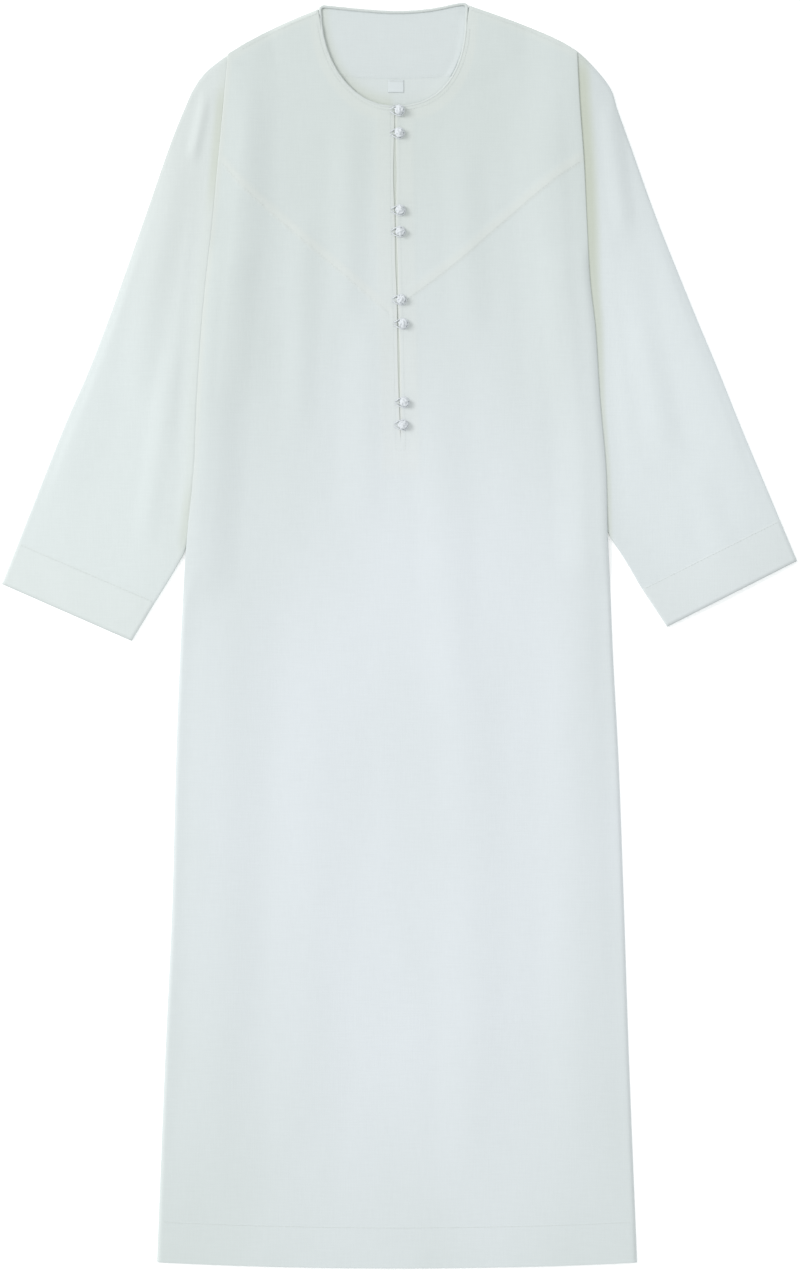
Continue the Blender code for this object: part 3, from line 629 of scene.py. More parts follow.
# %% Cloth material
COOL = (0.714, 0.748, 0.774)      # one smooth layer
PANEL_SHADE = (0.618, 0.664, 0.650)      # painted shade: the darker colour further from the middle of the panel
CREAM = (0.770, 0.752, 0.672)     # turned edges and doubled cloth
PAINTED_SHADE = (0.500, 0.530, 0.400)     # painted shade and shadow: beside the body's edges, inside the neck and in the slit


def cloth(name, centre=(0, 0, 0), reach=(1, 1, 1), cool=COOL, soft=PANEL_SHADE, pitch=0.0006, bump=0.25,
          roughness=0.85):
    made = bpy.data.materials.new(name)
    made.use_nodes = True
    tree = made.node_tree
    shader = tree.nodes["Principled BSDF"]
    shader.inputs["Roughness"].default_value = roughness
    shader.inputs["Sheen Weight"].default_value = 0.12
    shader.inputs["Sheen Roughness"].default_value = 0.5
    shader.inputs["Specular IOR Level"].default_value = 0.15
    place = tree.nodes.new("ShaderNodeTexCoord").outputs["Object"]
    shift = [-c / r for c, r in zip(centre, reach)]
    around = scaled(tree, place, [1 / r for r in reach], shift)
    length = tree.nodes.new("ShaderNodeVectorMath")
    length.operation = "LENGTH"
    tree.links.new(around, length.inputs[0])
    # Painted shade: away from the middle that centre and reach give, the colour turns from the first tone to
    # the darker second one, and slow random patches vary it.
    slow = node(tree, "ShaderNodeTexNoise", Scale=9.0, Detail=2.0)
    tree.links.new(scaled(tree, place, (1, 0.4, 1)), slow.inputs["Vector"])
    outward = between(tree, length.outputs["Value"], 0.45, 1.35)
    patches = between(tree, slow.outputs["Fac"], 0.3, 0.7, -0.13, 0.13)
    away = math_node(tree, "ADD", outward, patches)
    base = mix(tree, away, cool, soft)
    # Cream tints doubled cloth; the second attribute darkens the colour with painted shade and shadow.
    for attribute, colour in (("cream", CREAM), ("shade", PAINTED_SHADE)):
        layer = tree.nodes.new("ShaderNodeAttribute")
        layer.attribute_name = attribute
        base = mix(tree, layer.outputs["Fac"], base, colour)
    both = math_node(tree, "ADD", slubs(tree, place, "X"), slubs(tree, place, "Y"))
    streaks = between(tree, both, 0.7, 1.3, 0.982, 1.012)
    grey = tree.nodes.new("ShaderNodeCombineColor")
    for socket in grey.inputs:
        tree.links.new(streaks, socket)
    tone = tree.nodes.new("ShaderNodeMix")
    tone.data_type = "RGBA"
    tone.blend_type = "MULTIPLY"
    tone.inputs[0].default_value = 1.0
    tree.links.new(base, tone.inputs[6])
    tree.links.new(grey.outputs[0], tone.inputs[7])
    tree.links.new(tone.outputs[2], shader.inputs["Base Color"])
    relief = node(tree, "ShaderNodeBump", Strength=bump, Distance=0.00025)
    tree.links.new(math_node(tree, "ADD", thread_waves(tree, place, pitch), both), relief.inputs["Height"])
    tree.links.new(relief.outputs["Normal"], shader.inputs["Normal"])
    return made


BODY_CLOTH = cloth("robe_cloth", (0.03, -0.14, 0), (0.25, 0.42, 1))
BACK_CLOTH = cloth("back_cloth", (0.0, -0.14, 0), (0.25, 0.42, 1), COOL, (0.640, 0.680, 0.676))
# Both sleeves darken away from their own middles as painted shade, and the wearer's left sleeve, on the side
# away from the key light, is painted darker as shade.
ARM_CLOTH = {
    "right": cloth("sleeve_cloth_right", (-0.260, 0.13, 0), (0.12, 0.22, 1), (0.702, 0.748, 0.744),
                   (0.662, 0.700, 0.688)),
    "left": cloth("sleeve_cloth_left", (0.240, 0.18, 0), (0.11, 0.22, 1), (0.698, 0.738, 0.750),
                  (0.622, 0.660, 0.664)),
}
FACING_CLOTH = cloth("facing_cloth", (0, 0.5, 0), (0.2, 0.2, 1), (0.640, 0.680, 0.682), (0.634, 0.674, 0.676))
PIPING = cloth("piping_cloth", (0, 0.5, 0), (0.2, 0.2, 1), (0.625, 0.660, 0.645), (0.618, 0.652, 0.638))
THREAD = cloth("sewing_thread", (0, 0, 0), (1, 1, 1), (0.680, 0.712, 0.696), (0.675, 0.705, 0.690),
               0.0003, 0.1, 0.7)
CORD = cloth("knot_cord", (0, 0, 0), (1, 1, 1), (0.712, 0.736, 0.766), (0.694, 0.716, 0.746), 0.0005, 0.2)
LABEL = cloth("label_satin", (0, 0, 0), (1, 1, 1), (0.650, 0.690, 0.700), (0.645, 0.685, 0.695),
              0.0003, 0.15, 0.6)
print("materials:", len(bpy.data.materials))

# %% [markdown]
# ## From points to a panel
# A grid of points is the honest form of a panel: the weave has columns and lines too. The grid is
# laid in plan, lifted to the height above, and Solidify gives it the cloth's thickness downwards.

# %% Panel builder
robe = bpy.data.collections.new("thobe_robe")
bpy.context.scene.collection.children.link(robe)


def link(name, mesh, finish):
    mesh.materials.append(finish)
    mesh.shade_smooth()
    piece = bpy.data.objects.new(name, mesh)
    robe.objects.link(piece)
    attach(piece, "root")
    return piece


def to_mesh(name, bm):
    mesh = bpy.data.meshes.new(name)
    bm.to_mesh(mesh)
    bm.free()
    return mesh


def grid_mesh(name, blocks):
    """One mesh of blocks, each a list of lines of points, joined where their edges meet."""
    bm = bmesh.new()
    for block in blocks:
        made = [[bm.verts.new(point) for point in line] for line in block]
        for low, high in zip(made, made[1:]):
            for index in range(len(low) - 1):
                bm.faces.new((low[index], low[index + 1], high[index + 1], high[index]))
    bmesh.ops.remove_doubles(bm, verts=bm.verts, dist=0.00001)
    bmesh.ops.recalc_face_normals(bm, faces=bm.faces)
    if sum(face.normal.z for face in bm.faces) < 0:
        bmesh.ops.reverse_faces(bm, faces=bm.faces)
    return to_mesh(name, bm)


def thicken(piece, thickness=SHELL):
    solid = piece.modifiers.new("thickness", "SOLIDIFY")
    solid.thickness = thickness
    solid.offset = -1
    return piece


def tint(mesh, **rules):
    """Writes one number a point for each rule, which the cloth's material reads."""
    for name, rule in rules.items():
        layer = mesh.attributes.new(name, "FLOAT", "POINT")
        layer.data.foreach_set("value", [clamp(rule(v.co.x, v.co.y)) for v in mesh.vertices])


def plan_area(mesh):
    return sum(abs(face.area * face.normal.z) for face in mesh.polygons)


print("collection:", robe.name)

# %% Where the cloth is doubled
def doubled(x, y):
    """Creamier zones of the front: the slit's facing and edges, the V seam's allowance, the armhole, the
    shoulder and the neck.
    """
    above = above_seam(x, y)
    placket = 0.11 * smooth((PLACKET_HALF - abs(x - slit_x(y))) / 0.005) * smooth((y - PLACKET_LOW) / 0.003)
    seam = 0.16 * smooth((ALLOWANCE - above) / 0.004) * smooth((above + 0.002) / 0.004)
    slit_edge = 0.30 * smooth((0.0030 - abs(x - slit_x(y))) / 0.0020) * smooth((y - SLIT_END) / 0.01)
    armhole = 0.18 * smooth((0.0060 - from_side(x, y, "right")) / 0.005) * smooth((y - 0.05) / 0.15)
    shoulder = 0.12 * smooth((0.010 - (shoulder_y(x) - y)) / 0.004)
    neck = 0.14 * smooth((0.012 - from_neck(x, y)) / 0.003) if y > 0.42 else 0.0
    return max(placket, seam, slit_edge, armhole, shoulder, neck)


def edge_shade(x, y):
    """Painted shade along the front's own edge on the wearer's left, where its welt turns down to the sleeve.
    """
    upper = smooth((y - 0.20) / 0.20) * smooth((0.495 - y) / 0.03)
    return 0.10 * upper * smooth((0.0030 - from_side(x, y, "left")) / 0.003)


def armhole_shade(x, y):
    """Painted shadow and shade on the sleeve, deepest right beside the body's edge."""
    which = "right" if x < 0 else "left"
    beyond = -from_side(x, y, which)
    if which == "left":
        width = lerp(0.0045, 0.0110, smooth((y - 0.16) / 0.20))
        strength = lerp(0.30, 0.60, smooth((y - 0.14) / 0.22)) * smooth((0.500 - y) / 0.04)
        strength *= smooth((y - 0.060) / 0.03)
    else:
        width = 0.0075
        upper = smooth((y - 0.330) / 0.06) * smooth((0.470 - y) / 0.03)
        lower = smooth((0.150 - y) / 0.05) * smooth((y - 0.060) / 0.02)
        strength = max(0.36 * upper, 0.26 * lower, 0.07)
    return strength * (1 - smooth((beyond - 0.35 * width) / (0.9 * width))) * smooth((beyond + 0.003) / 0.002)


def neck_shade(x, y):
    """A soft shadow inside the neck edge, deep on the wearer's right and faint on the left."""
    within = -from_neck(x, y)
    if y < NECK_BOTTOM - 0.01 or within < -0.006:
        return 0.0
    deep = 0.28 if x < NECK_X else 0.0
    low = smooth((0.475 - y) / 0.03)
    return (deep + 0.06 * low) * (1 - smooth((within - 0.0010) / 0.0085))


print("tint over the seam allowance:", round(doubled(0.05, seam_curve["left"](0.05) + 0.004), 2))

# %% [markdown]
# ## The back
# Most of the back is hidden, so its grid is coarser. It shows in the neck opening, and from below.

# %% Back panel
BACK_INSET = 0.0026
BACK_ARMHOLE = TUCK + 0.0008
COLUMNS = 48
ARMHOLE_TOP = 0.484


def back_lower():
    """From the hem up to the underarm."""
    lines = []
    for index in range(101):
        height = lerp(0.0, UNDERARM_Y - HEM_Y, index / 100)
        y = HEM_Y + height
        line = []
        for column in range(COLUMNS + 1):
            x = lerp(side(y, "right") + BACK_INSET, side(y, "left") - BACK_INSET, column / COLUMNS)
            at = y + (hem_y(x) - HEM_Y) * (1 - smooth(height / 0.08))
            line.append((x, at, back_top(x, at)))
        lines.append(line)
    return lines


def back_upper():
    """From the underarm up to the shoulders and the back neck."""
    ends = [side(ARMHOLE_TOP, which) - sign(which) * BACK_ARMHOLE for which in SIDES]
    lines = []
    for index in range(49):
        line = []
        for column in range(COLUMNS + 1):
            share = column / COLUMNS
            top_x = lerp(*ends, share)
            if BACK_NECK_SPAN[0] <= top_x <= BACK_NECK_SPAN[1]:
                top_y = back_neck_y(top_x) - NECK_TURN
            else:
                top_y = shoulder_y(top_x) - 0.0030
            y = lerp(UNDERARM_Y, top_y, index / 48)
            x = lerp(side(y, "right") + BACK_ARMHOLE, side(y, "left") - BACK_ARMHOLE, share)
            line.append((x, y, back_top(x, y)))
        lines.append(line)
    return lines


back_mesh = grid_mesh("back_cloth", [back_lower(), back_upper()])
back = thicken(link("back_cloth", back_mesh, BACK_CLOTH))
tint(back.data, shade=neck_shade)
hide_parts("back_panel")
print("back:", len(back.data.polygons), "faces,", round(plan_area(back.data), 3), "square metres")


# %% [markdown]
# ## The front skirt
# The front has rolled sides, where it folds over towards the back, so its columns crowd together near
# an edge. They run from the side edge to the slit, and up to the V seam.

# %% Columns of the front
ROLL_COLUMNS = (0.0, 0.00008, 0.0003, 0.0007, 0.0012, 0.0018, 0.0026, 0.0040)
SLIT_COLUMNS = (0.0050, 0.0036, 0.0024, 0.0014, 0.0009, 0.0005, 0.0002, 0.00005, 0.0)
MIDDLE = 84
COUNT = len(ROLL_COLUMNS) + MIDDLE - 1 + len(SLIT_COLUMNS)


def front_columns(y, which):
    """x of each column at a height, from the side edge to the slit."""
    inward = -sign(which)
    edge = side(y, which)
    end = slit_x(y) - inward * slit_gap(y)
    near = [edge + inward * offset for offset in ROLL_COLUMNS]
    far = [end - inward * offset for offset in SLIT_COLUMNS]
    start, stop = near[-1], far[0]
    middle = [lerp(start, stop, index / MIDDLE) for index in range(1, MIDDLE)]
    return near + middle + far


def meet_seam(which, column):
    """Where a column of the front meets the V seam."""
    y = 0.33
    for _ in range(40):
        y = seam_curve[which](front_columns(y, which)[column])
    return y


SEAM_MEETS = {which: [meet_seam(which, column) for column in range(COUNT)] for which in SIDES}
print("columns in each half:", COUNT)

# %% Skirt
HEM_LEVELS = (0.0, 0.0002, 0.0005, 0.0009, 0.0040, 0.0090, 0.0150, 0.0210, 0.0270, 0.0325, 0.0338,
              0.0344, 0.0350, 0.0356, 0.0370)
SEAM_LEVELS = (0.0115, 0.0085, 0.0060, 0.0042, 0.0030, 0.0020, 0.0013, 0.0008, 0.0004, 0.00005, 0.00001)
RISE = 46                 # lines of points from the slit's foot up to the V seam


def stations(low, high, step):
    count = max(1, round((high - low) / step))
    return [lerp(low, high, index / count) for index in range(count + 1)]


def skirt_half(which):
    lines = []
    for level in list(HEM_LEVELS) + stations(0.041, SLIT_END - HEM_Y, 0.0046):
        y = HEM_Y + level
        line = []
        for x in front_columns(y, which):
            at = lerp(hem_y(x) + level, y, smooth((level - HEM_DEPTH) / 0.08))
            line.append((x, at, front_height(x, at)))
        lines.append(line)
    for index in range(1, RISE + len(SEAM_LEVELS)):
        line = []
        for column, meet in enumerate(SEAM_MEETS[which]):
            if index <= RISE:
                y = lerp(SLIT_END, meet - SEAM_LEVELS[0], index / RISE)
            else:
                y = meet - SEAM_LEVELS[index - RISE]
            x = front_columns(y, which)[column]
            line.append((x, y, front_height(x, y)))
        lines.append(line)
    return lines


skirt_mesh = grid_mesh("skirt_cloth", [skirt_half(which) for which in SIDES])
tint(skirt_mesh, cream=doubled, shade=edge_shade)
skirt = thicken(link("skirt_cloth", skirt_mesh, BODY_CLOTH))
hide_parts("front_skirt")
print("skirt:", len(skirt_mesh.polygons), "faces,", round(plan_area(skirt_mesh), 3), "square metres")


# %% [markdown]
# ## The yokes
# Each upper front runs from the V seam up to the shoulder and round the neck. Its lines crowd at the
# seam, where the cloth is pressed over its own allowance, and at the neck, where it turns in.

# %% Yokes
CROWN_LEVELS = (0.0060, 0.0040, 0.0026, 0.0016, 0.0010, 0.0005, 0.0002, 0.0)
YOKE_LINES = 44           # plain lines between the seam's and the crown's
YOKE_CORNER = 0.4837      # height where the side edge meets the shoulder
SHOULDER_SHARE = 0.46     # share of the yoke's columns that end along the shoulder


def neck_edge_y(x, which, out):
    power = NECK_SQUARENESS[which]
    across = min(1.0, abs(x - NECK_X) / (NECK_HALF + out))
    return NECK_TOP - (NECK_TOP - NECK_BOTTOM + out) * (1 - across ** power) ** (1 / power)


def crown(which, column):
    """Where a column of the yoke ends: along the shoulder, then down round the neck."""
    start = side(YOKE_CORNER, which)
    if column < len(ROLL_COLUMNS):
        x = start - sign(which) * ROLL_COLUMNS[column]
        return Vector((x, shoulder_y(x)))
    last = COUNT - len(SLIT_COLUMNS)
    slit_line = front_columns(NECK_BOTTOM - NECK_TURN, which)
    if column >= last:
        x = slit_line[column]
        return Vector((x, neck_edge_y(x, which, NECK_TURN)))
    share = (column - len(ROLL_COLUMNS) + 1) / (last - len(ROLL_COLUMNS) + 1)
    corner_x = NECK_X + sign(which) * (NECK_HALF + NECK_TURN)
    if share <= SHOULDER_SHARE:
        x = lerp(start - sign(which) * ROLL_COLUMNS[-1], corner_x, share / SHOULDER_SHARE)
        return Vector((x, shoulder_y(x)))
    across = abs(slit_line[last] - NECK_X) / (NECK_HALF + NECK_TURN)
    final = math.acos(across ** (NECK_SQUARENESS[which] / 2))
    angle = lerp(0.03, final, (share - SHOULDER_SHARE) / (1 - SHOULDER_SHARE))
    return Vector(neck_point(angle, which, NECK_TURN))


def yoke(which):
    lines = []
    rising = SEAM_LEVELS[::-1]
    count = len(SEAM_LEVELS) + YOKE_LINES + len(CROWN_LEVELS)
    for line_index in range(count):
        line = []
        for column in range(COUNT):
            meet = SEAM_MEETS[which][column]
            high = crown(which, column)
            start = meet + SEAM_LEVELS[0]
            base = Vector((front_columns(start, which)[column], start))
            way = (high - base).normalized()
            if line_index < len(SEAM_LEVELS):
                y = meet + rising[line_index]
                point = Vector((front_columns(y, which)[column], y))
            elif line_index < count - len(CROWN_LEVELS):
                share = (line_index - len(SEAM_LEVELS) + 1) / (YOKE_LINES + 1)
                point = base.lerp(high - way * CROWN_LEVELS[0], share)
            else:
                point = high - way * CROWN_LEVELS[line_index - (count - len(CROWN_LEVELS))]
            if column < len(ROLL_COLUMNS) or column >= COUNT - len(SLIT_COLUMNS):
                point.x = front_columns(point.y, which)[column]
            line.append((point.x, point.y, front_height(point.x, point.y)))
        lines.append(line)
    return lines


for which in SIDES:
    mesh = grid_mesh(f"yoke_cloth_{which}", [yoke(which)])
    tint(mesh, cream=doubled, shade=edge_shade)
    thicken(link(f"yoke_cloth_{which}", mesh, BODY_CLOTH))
    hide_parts(f"yoke_{which}")
    print(which, "yoke:", len(mesh.polygons), "faces,", round(plan_area(mesh), 3), "square metres")


# %% [markdown]
# ## The sleeves
# A sleeve is one tube pressed flat. Its sections run across it from the outer fold to the inner one,
# and turn as they go down, from the slope of the armhole to the slope of the cuff. Air keeps the two
# layers apart in the middle, so the top swells a little between its folds.

# %% Sleeve sections
SWELL = 0.0011
CLIMB = {"right": 0.0012, "left": 0.0004}      # the sleeve rises a little to the body's edge
SECTIONS = 132
SECTION_LENGTH = 0.095    # length of the sleeve's last section above the hem
ACROSS = 56
ARC = 6
BENEATH = 20
CUFF_LINES = (CUFF_DEPTH + 0.0012, CUFF_DEPTH + 0.0006, CUFF_DEPTH, CUFF_DEPTH - 0.0006, CUFF_DEPTH - 0.0012)


def section_curves(which):
    """Smooth functions of the way down the sleeve, for both folds, and the last step."""
    table = [("step", "outer_x", "outer_y", "inner_x", "inner_y")]
    for step, (outer_x, outer_y, inner_y, under) in enumerate(SLEEVES[which][1:]):
        inner_x = side(inner_y, which) - sign(which) * under
        table.append((step, outer_x, outer_y, inner_x, inner_y))
    return [through(table, column) for column in range(1, 5)], len(table) - 2


SECTION = {which: section_curves(which) for which in SIDES}


def sleeve_folds_at(which, step):
    curves = SECTION[which][0]
    return Vector((curves[0](step), curves[1](step))), Vector((curves[2](step), curves[3](step)))


def cuff_step(which, depth):
    """The step of the section that lies a depth above the cuff; the last step is the hem."""
    last = SECTION[which][1]
    if depth <= CUFF_DEPTH:
        return last - depth / CUFF_DEPTH
    return last - 1 - (depth - CUFF_DEPTH) / SECTION_LENGTH


def cuff_depth(which, step):
    above = SECTION[which][1] - step
    if above <= 1:
        return above * CUFF_DEPTH
    return CUFF_DEPTH + (above - 1) * SECTION_LENGTH


def sleeve_top(x, y, which, width, distance, depth):
    """The height of the sleeve's upper layer."""
    beyond = -from_side(x, y, which)
    middle = math.sin(math.pi * clamp(distance / width))
    clear = smooth((beyond - 0.0045) / 0.016)
    height = TUBE + SWELL * middle * clear
    height += (folds(x, y, SLEEVE_FOLDS) + ripple(x, y, 11 if which == "right" else 17)) * clear
    climb = CLIMB[which] * smooth((0.44 - y) / 0.10) * smooth((y - 0.07) / 0.05)
    height += climb * smooth((0.016 - beyond) / 0.016) * smooth((beyond + 0.0014) / 0.0012)
    edge = smooth(min(distance, width - distance) / 0.012)
    height = lerp(TUBE, height, edge)
    return max(height, TUBE - 0.0002) + HEM_RAISE * smooth((CUFF_DEPTH - depth) / 0.0012)


print("sections of a sleeve:", SECTION["left"][1] + 1)

# %% Sleeves
def sleeve_ring(which, step):
    """The points round one section, from the outer fold over the top and back underneath."""
    radius = TUBE / 2 - 0.0001
    outer, inner = sleeve_folds_at(which, step)
    depth = cuff_depth(which, step)
    run = (inner - outer).normalized()
    width = (inner - outer).length
    ring = []
    for turn in range(ARC):
        angle = math.pi * turn / ARC - math.pi / 2
        at = outer + run * radius * (1 - math.cos(angle))
        ring.append((at.x, at.y, 0.0001 + radius + radius * math.sin(angle)))
    for index in range(ACROSS + 1):
        distance = lerp(radius, width - radius, index / ACROSS)
        at = outer + run * distance
        ring.append((at.x, at.y, sleeve_top(at.x, at.y, which, width, distance, depth)))
    for turn in range(1, ARC + 1):
        angle = math.pi / 2 - math.pi * turn / ARC
        at = inner - run * radius * (1 - math.cos(angle))
        ring.append((at.x, at.y, 0.0001 + radius + radius * math.sin(angle)))
    for index in range(1, BENEATH):
        at = outer + run * lerp(width - radius, radius, index / BENEATH)
        ring.append((at.x, at.y, 0.0001 + 0.4 * folds(at.x, at.y, SLEEVE_FOLDS)))
    return ring


def sleeve(which):
    last = SECTION[which][1]
    hem_steps = [cuff_step(which, depth) for depth in CUFF_LINES]
    steps = [last * index / SECTIONS for index in range(SECTIONS + 1)]
    steps = [step for step in steps if min(abs(step - line) for line in hem_steps) > 0.01]
    steps = sorted(steps + hem_steps)
    bm = bmesh.new()
    rings = [[bm.verts.new(point) for point in sleeve_ring(which, step)] for step in steps]
    for one, two in zip(rings, rings[1:]):
        for index in range(len(one)):
            after = (index + 1) % len(one)
            bm.faces.new((one[index], one[after], two[after], two[index]))
    bmesh.ops.recalc_face_normals(bm, faces=bm.faces)
    outward = sum(face.normal.z * (face.calc_center_median().z - TUBE / 2) for face in bm.faces)
    if outward < 0:
        bmesh.ops.reverse_faces(bm, faces=bm.faces)
    return to_mesh(f"sleeve_cloth_{which}", bm)


def cuff_cream(which):
    """Creamier towards the cuff's turned-up hem."""
    line = [sleeve_folds_at(which, cuff_step(which, CUFF_DEPTH))[end] for end in (0, 1)]
    run = (line[1] - line[0]).normalized()
    square = Vector((run.y, -run.x))
    square *= -1 if square.y > 0 else 1

    def rule(x, y):
        below = (Vector((x, y)) - line[0]).dot(square)
        return 0.05 * smooth((below + 0.001) / 0.002)

    return rule


for which in SIDES:
    mesh = sleeve(which)
    tint(mesh, cream=cuff_cream(which), shade=armhole_shade)
    thicken(link(f"sleeve_cloth_{which}", mesh, ARM_CLOTH[which]))
    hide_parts(f"sleeve_{which}")


# %% [markdown]
# ## Behind the slit
# The slit's edges meet over a narrow strip of the same cloth, so no gap opens on the wearer.

# %% Underlap
def underlap():
    lines = []
    for y in stations(SLIT_END - 0.015, NECK_BOTTOM - 0.005, 0.004):
        line = []
        for across in stations(-1, 1, 0.0625):
            x = slit_x(y) + across * UNDERLAP_HALF
            up = UNDERLAP_RISE * smooth((0.25 - abs(across)) / 0.08)
            line.append((x, y, front_rest(x, y) + CLOTH - SHELL - 0.0001 + up))
        lines.append(line)
    return lines


underlap_mesh = grid_mesh("slit_underlap", [underlap()])
# The whole strip is painted darker, as shade deep inside the slit.
tint(underlap_mesh, shade=lambda x, y: 0.35)
underlap_piece = thicken(link("slit_underlap", underlap_mesh, FACING_CLOTH), UNDERLAP_SHELL)
print("underlap:", round(plan_area(underlap_mesh), 5), "square metres")


# %% [markdown]
# ## Cords
# The piping, the knots and the loops are all cord. A cord is a small ring of points carried along a
# route, and kept from spinning by turning each ring only as far as the route itself turns. Letting the
# ring's radius swell and shrink round it, in lobes that twist along the way, makes plied strands.

# %% Sweep
def resample(route, step, closed=False):
    """The route's points again, evenly spaced."""
    points = [Vector(p) for p in route]
    if closed:
        points.append(points[0].copy())
    lengths = [0.0]
    for one, two in zip(points, points[1:]):
        lengths.append(lengths[-1] + (two - one).length)
    count = max(2, round(lengths[-1] / step))
    even = []
    index = 0
    for number in range(count + (0 if closed else 1)):
        want = lengths[-1] * number / count
        while index < len(lengths) - 2 and lengths[index + 1] < want:
            index += 1
        span = lengths[index + 1] - lengths[index]
        even.append(points[index].lerp(points[index + 1], clamp((want - lengths[index]) / span)))
    return even


def sweep(bm, route, radius, sides=10, closed=False, strands=1, pitch=0.006, depth=0.0):
    """Adds a cord along a route to bm; the crest of a strand comes by once in each pitch."""
    count = len(route)
    rings = []
    normal = Vector((0, 0, 1))
    travelled = 0.0
    for index, at in enumerate(route):
        before = route[index - 1] if index or closed else at
        after = route[(index + 1) % count] if index < count - 1 or closed else at
        tangent = (after - before).normalized()
        normal = (normal - tangent * normal.dot(tangent)).normalized()
        other = tangent.cross(normal)
        travelled += (at - route[index - 1]).length if index else 0.0
        ring = []
        for turn in range(sides):
            angle = 2 * math.pi * turn / sides
            twist = 2 * math.pi * travelled / pitch / strands
            reach = radius * (1 - depth * (0.5 + 0.5 * math.cos(strands * (angle - twist))))
            point = at + normal * (reach * math.cos(angle)) + other * (reach * math.sin(angle))
            ring.append(bm.verts.new(point))
        rings.append(ring)
    for one, two in zip(rings, rings[1:]):
        for turn in range(sides):
            after = (turn + 1) % sides
            bm.faces.new((one[turn], one[after], two[after], two[turn]))
    if closed:
        one, two = rings[-1], rings[0]
        shift = min(range(sides), key=lambda s: (one[0].co - two[s].co).length)
        two = two[shift:] + two[:shift]
        for turn in range(sides):
            after = (turn + 1) % sides
            bm.faces.new((one[turn], one[after], two[after], two[turn]))
    else:
        bm.faces.new(rings[0])
        bm.faces.new(rings[-1])
    bmesh.ops.recalc_face_normals(bm, faces=bm.faces)


print("10 mm in steps of 1 mm:", len(resample([(0, 0, 0), (0.01, 0, 0)], 0.001)), "points")

# %% [markdown]
# ## Neck piping
# A strip of the robe's own cloth is rolled round a thin cord and sewn to the neck edge. It starts at
# one side of the slit, goes over the shoulder and the back neck, and comes down to the other side.

# %% Neck piping
PIPING_SINK = 0.0008
CORNER_ROUND = 0.0030


def piping_height(x, y):
    """On the front it is sewn to the yoke, and it comes down to the back at the shoulder."""
    on_front = front_rest(x, y) + BINDING_RADIUS - PIPING_SINK
    return lerp(on_front, BINDING_RADIUS + 0.0004, smooth((y - 0.500) / 0.018))


def piping_arm(which):
    """Plan points from the slit up one side of the neck, and round its corner."""
    arm = []
    for index in range(61):
        angle = lerp(math.pi / 2, 0.04, index / 60)
        x, y = neck_point(angle, which, BINDING_RADIUS)
        start = slit_x(y) + sign(which) * (slit_gap(y) + BINDING_RADIUS * 0.3)
        if index == 0 or (x - start) * sign(which) > 0.0001:
            arm.append((start if index == 0 else x, y))
    corner_x, corner_y = NECK_CORNER[which]
    for turn in range(7):
        angle = math.radians(15 * turn)
        x = corner_x + sign(which) * CORNER_ROUND * (math.cos(angle) - 1)
        y = corner_y + CORNER_ROUND * (math.sin(angle) - 1)
        arm.append((x, y))
    return arm


def piping_route():
    back_arm = [(x, back_neck_y(x) - BINDING_RADIUS) for x in stations(-0.0590, 0.0490, 0.003)]
    plan = piping_arm("right") + back_arm + list(reversed(piping_arm("left")))
    return [Vector((x, y, piping_height(x, y))) for x, y in plan]


bm = bmesh.new()
sweep(bm, resample(piping_route(), 0.0016), BINDING_RADIUS, sides=12, strands=1, pitch=0.011, depth=0.10)
piping = link("neck_piping", to_mesh("neck_piping", bm), PIPING)
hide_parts("neck_binding")
print("piping:", len(piping.data.polygons), "faces")


# %% [markdown]
# ## Inside the back neck
# A shallow facing finishes the back neck, and a small label hangs from its lower edge. The label is
# left bare.

# %% Facing and label
FACING_LOW = 0.4653
LABEL_SIZE = (0.0130, 0.0102)
LABEL_AT = (-0.0029, 0.4566)
LABEL_REST = 0.0012
LABEL_SHELL = 0.0002
FACING_SHELL = 0.0004
FACING_EDGE = 0.0011      # its edge hugs the back, and its middle lies a little higher
FACING_TOP = 0.0016
FACING_SAG = 0.002
FACING_TOP_HALF = 0.0560  # half of its width at the shoulders


def facing_half(y):
    fall = clamp((NECK_TOP - y) / (NECK_TOP - NECK_BOTTOM))
    oval = NECK_HALF * math.sqrt(1 - fall * fall)
    return min(oval + 0.0050, FACING_TOP_HALF + 1.2 * (NECK_TOP - y))


def facing_low(x):
    """The facing's lower edge hangs a little in its middle."""
    across = (x - NECK_X) / facing_half(FACING_LOW)
    return FACING_LOW - FACING_SAG * (1 - across * across)


def facing_level(x, y):
    inward = smooth((y - facing_low(x)) / 0.012) * smooth(-from_neck(x, y) / 0.008)
    uneven = 0.0001 * noise.noise(Vector((x * 60, y * 60, 9))) * inward
    return lerp(FACING_EDGE, FACING_TOP, inward) + neck_climb(x, y) + uneven


def facing():
    lines = []
    for share in [0.0, 0.001] + [index / 24 for index in range(1, 25)]:
        line = []
        base = lerp(FACING_LOW, NECK_TOP - 0.0035, share)
        for column in range(49):
            across = lerp(-1, 1, column / 48)
            x = NECK_X + across * facing_half(base)
            low = FACING_LOW - FACING_SAG * (1 - across * across)
            high = back_neck_y(x) - NECK_TURN
            y = lerp(low, high, share)
            line.append((x, y, facing_level(x, y)))
        lines.append(line)
    return lines


def label():
    width, height = LABEL_SIZE
    lines = []
    for index in range(13):
        line = []
        for column in range(19):
            x = LABEL_AT[0] + lerp(-0.5, 0.5, column / 18) * width
            y = LABEL_AT[1] + lerp(-0.5, 0.5, index / 12) * height
            curl = 0.0001 * (1 - smooth(index / 9)) + 0.0001 * math.sin(math.pi * column / 18)
            line.append((x, y, LABEL_REST + curl))
        lines.append(line)
    return lines


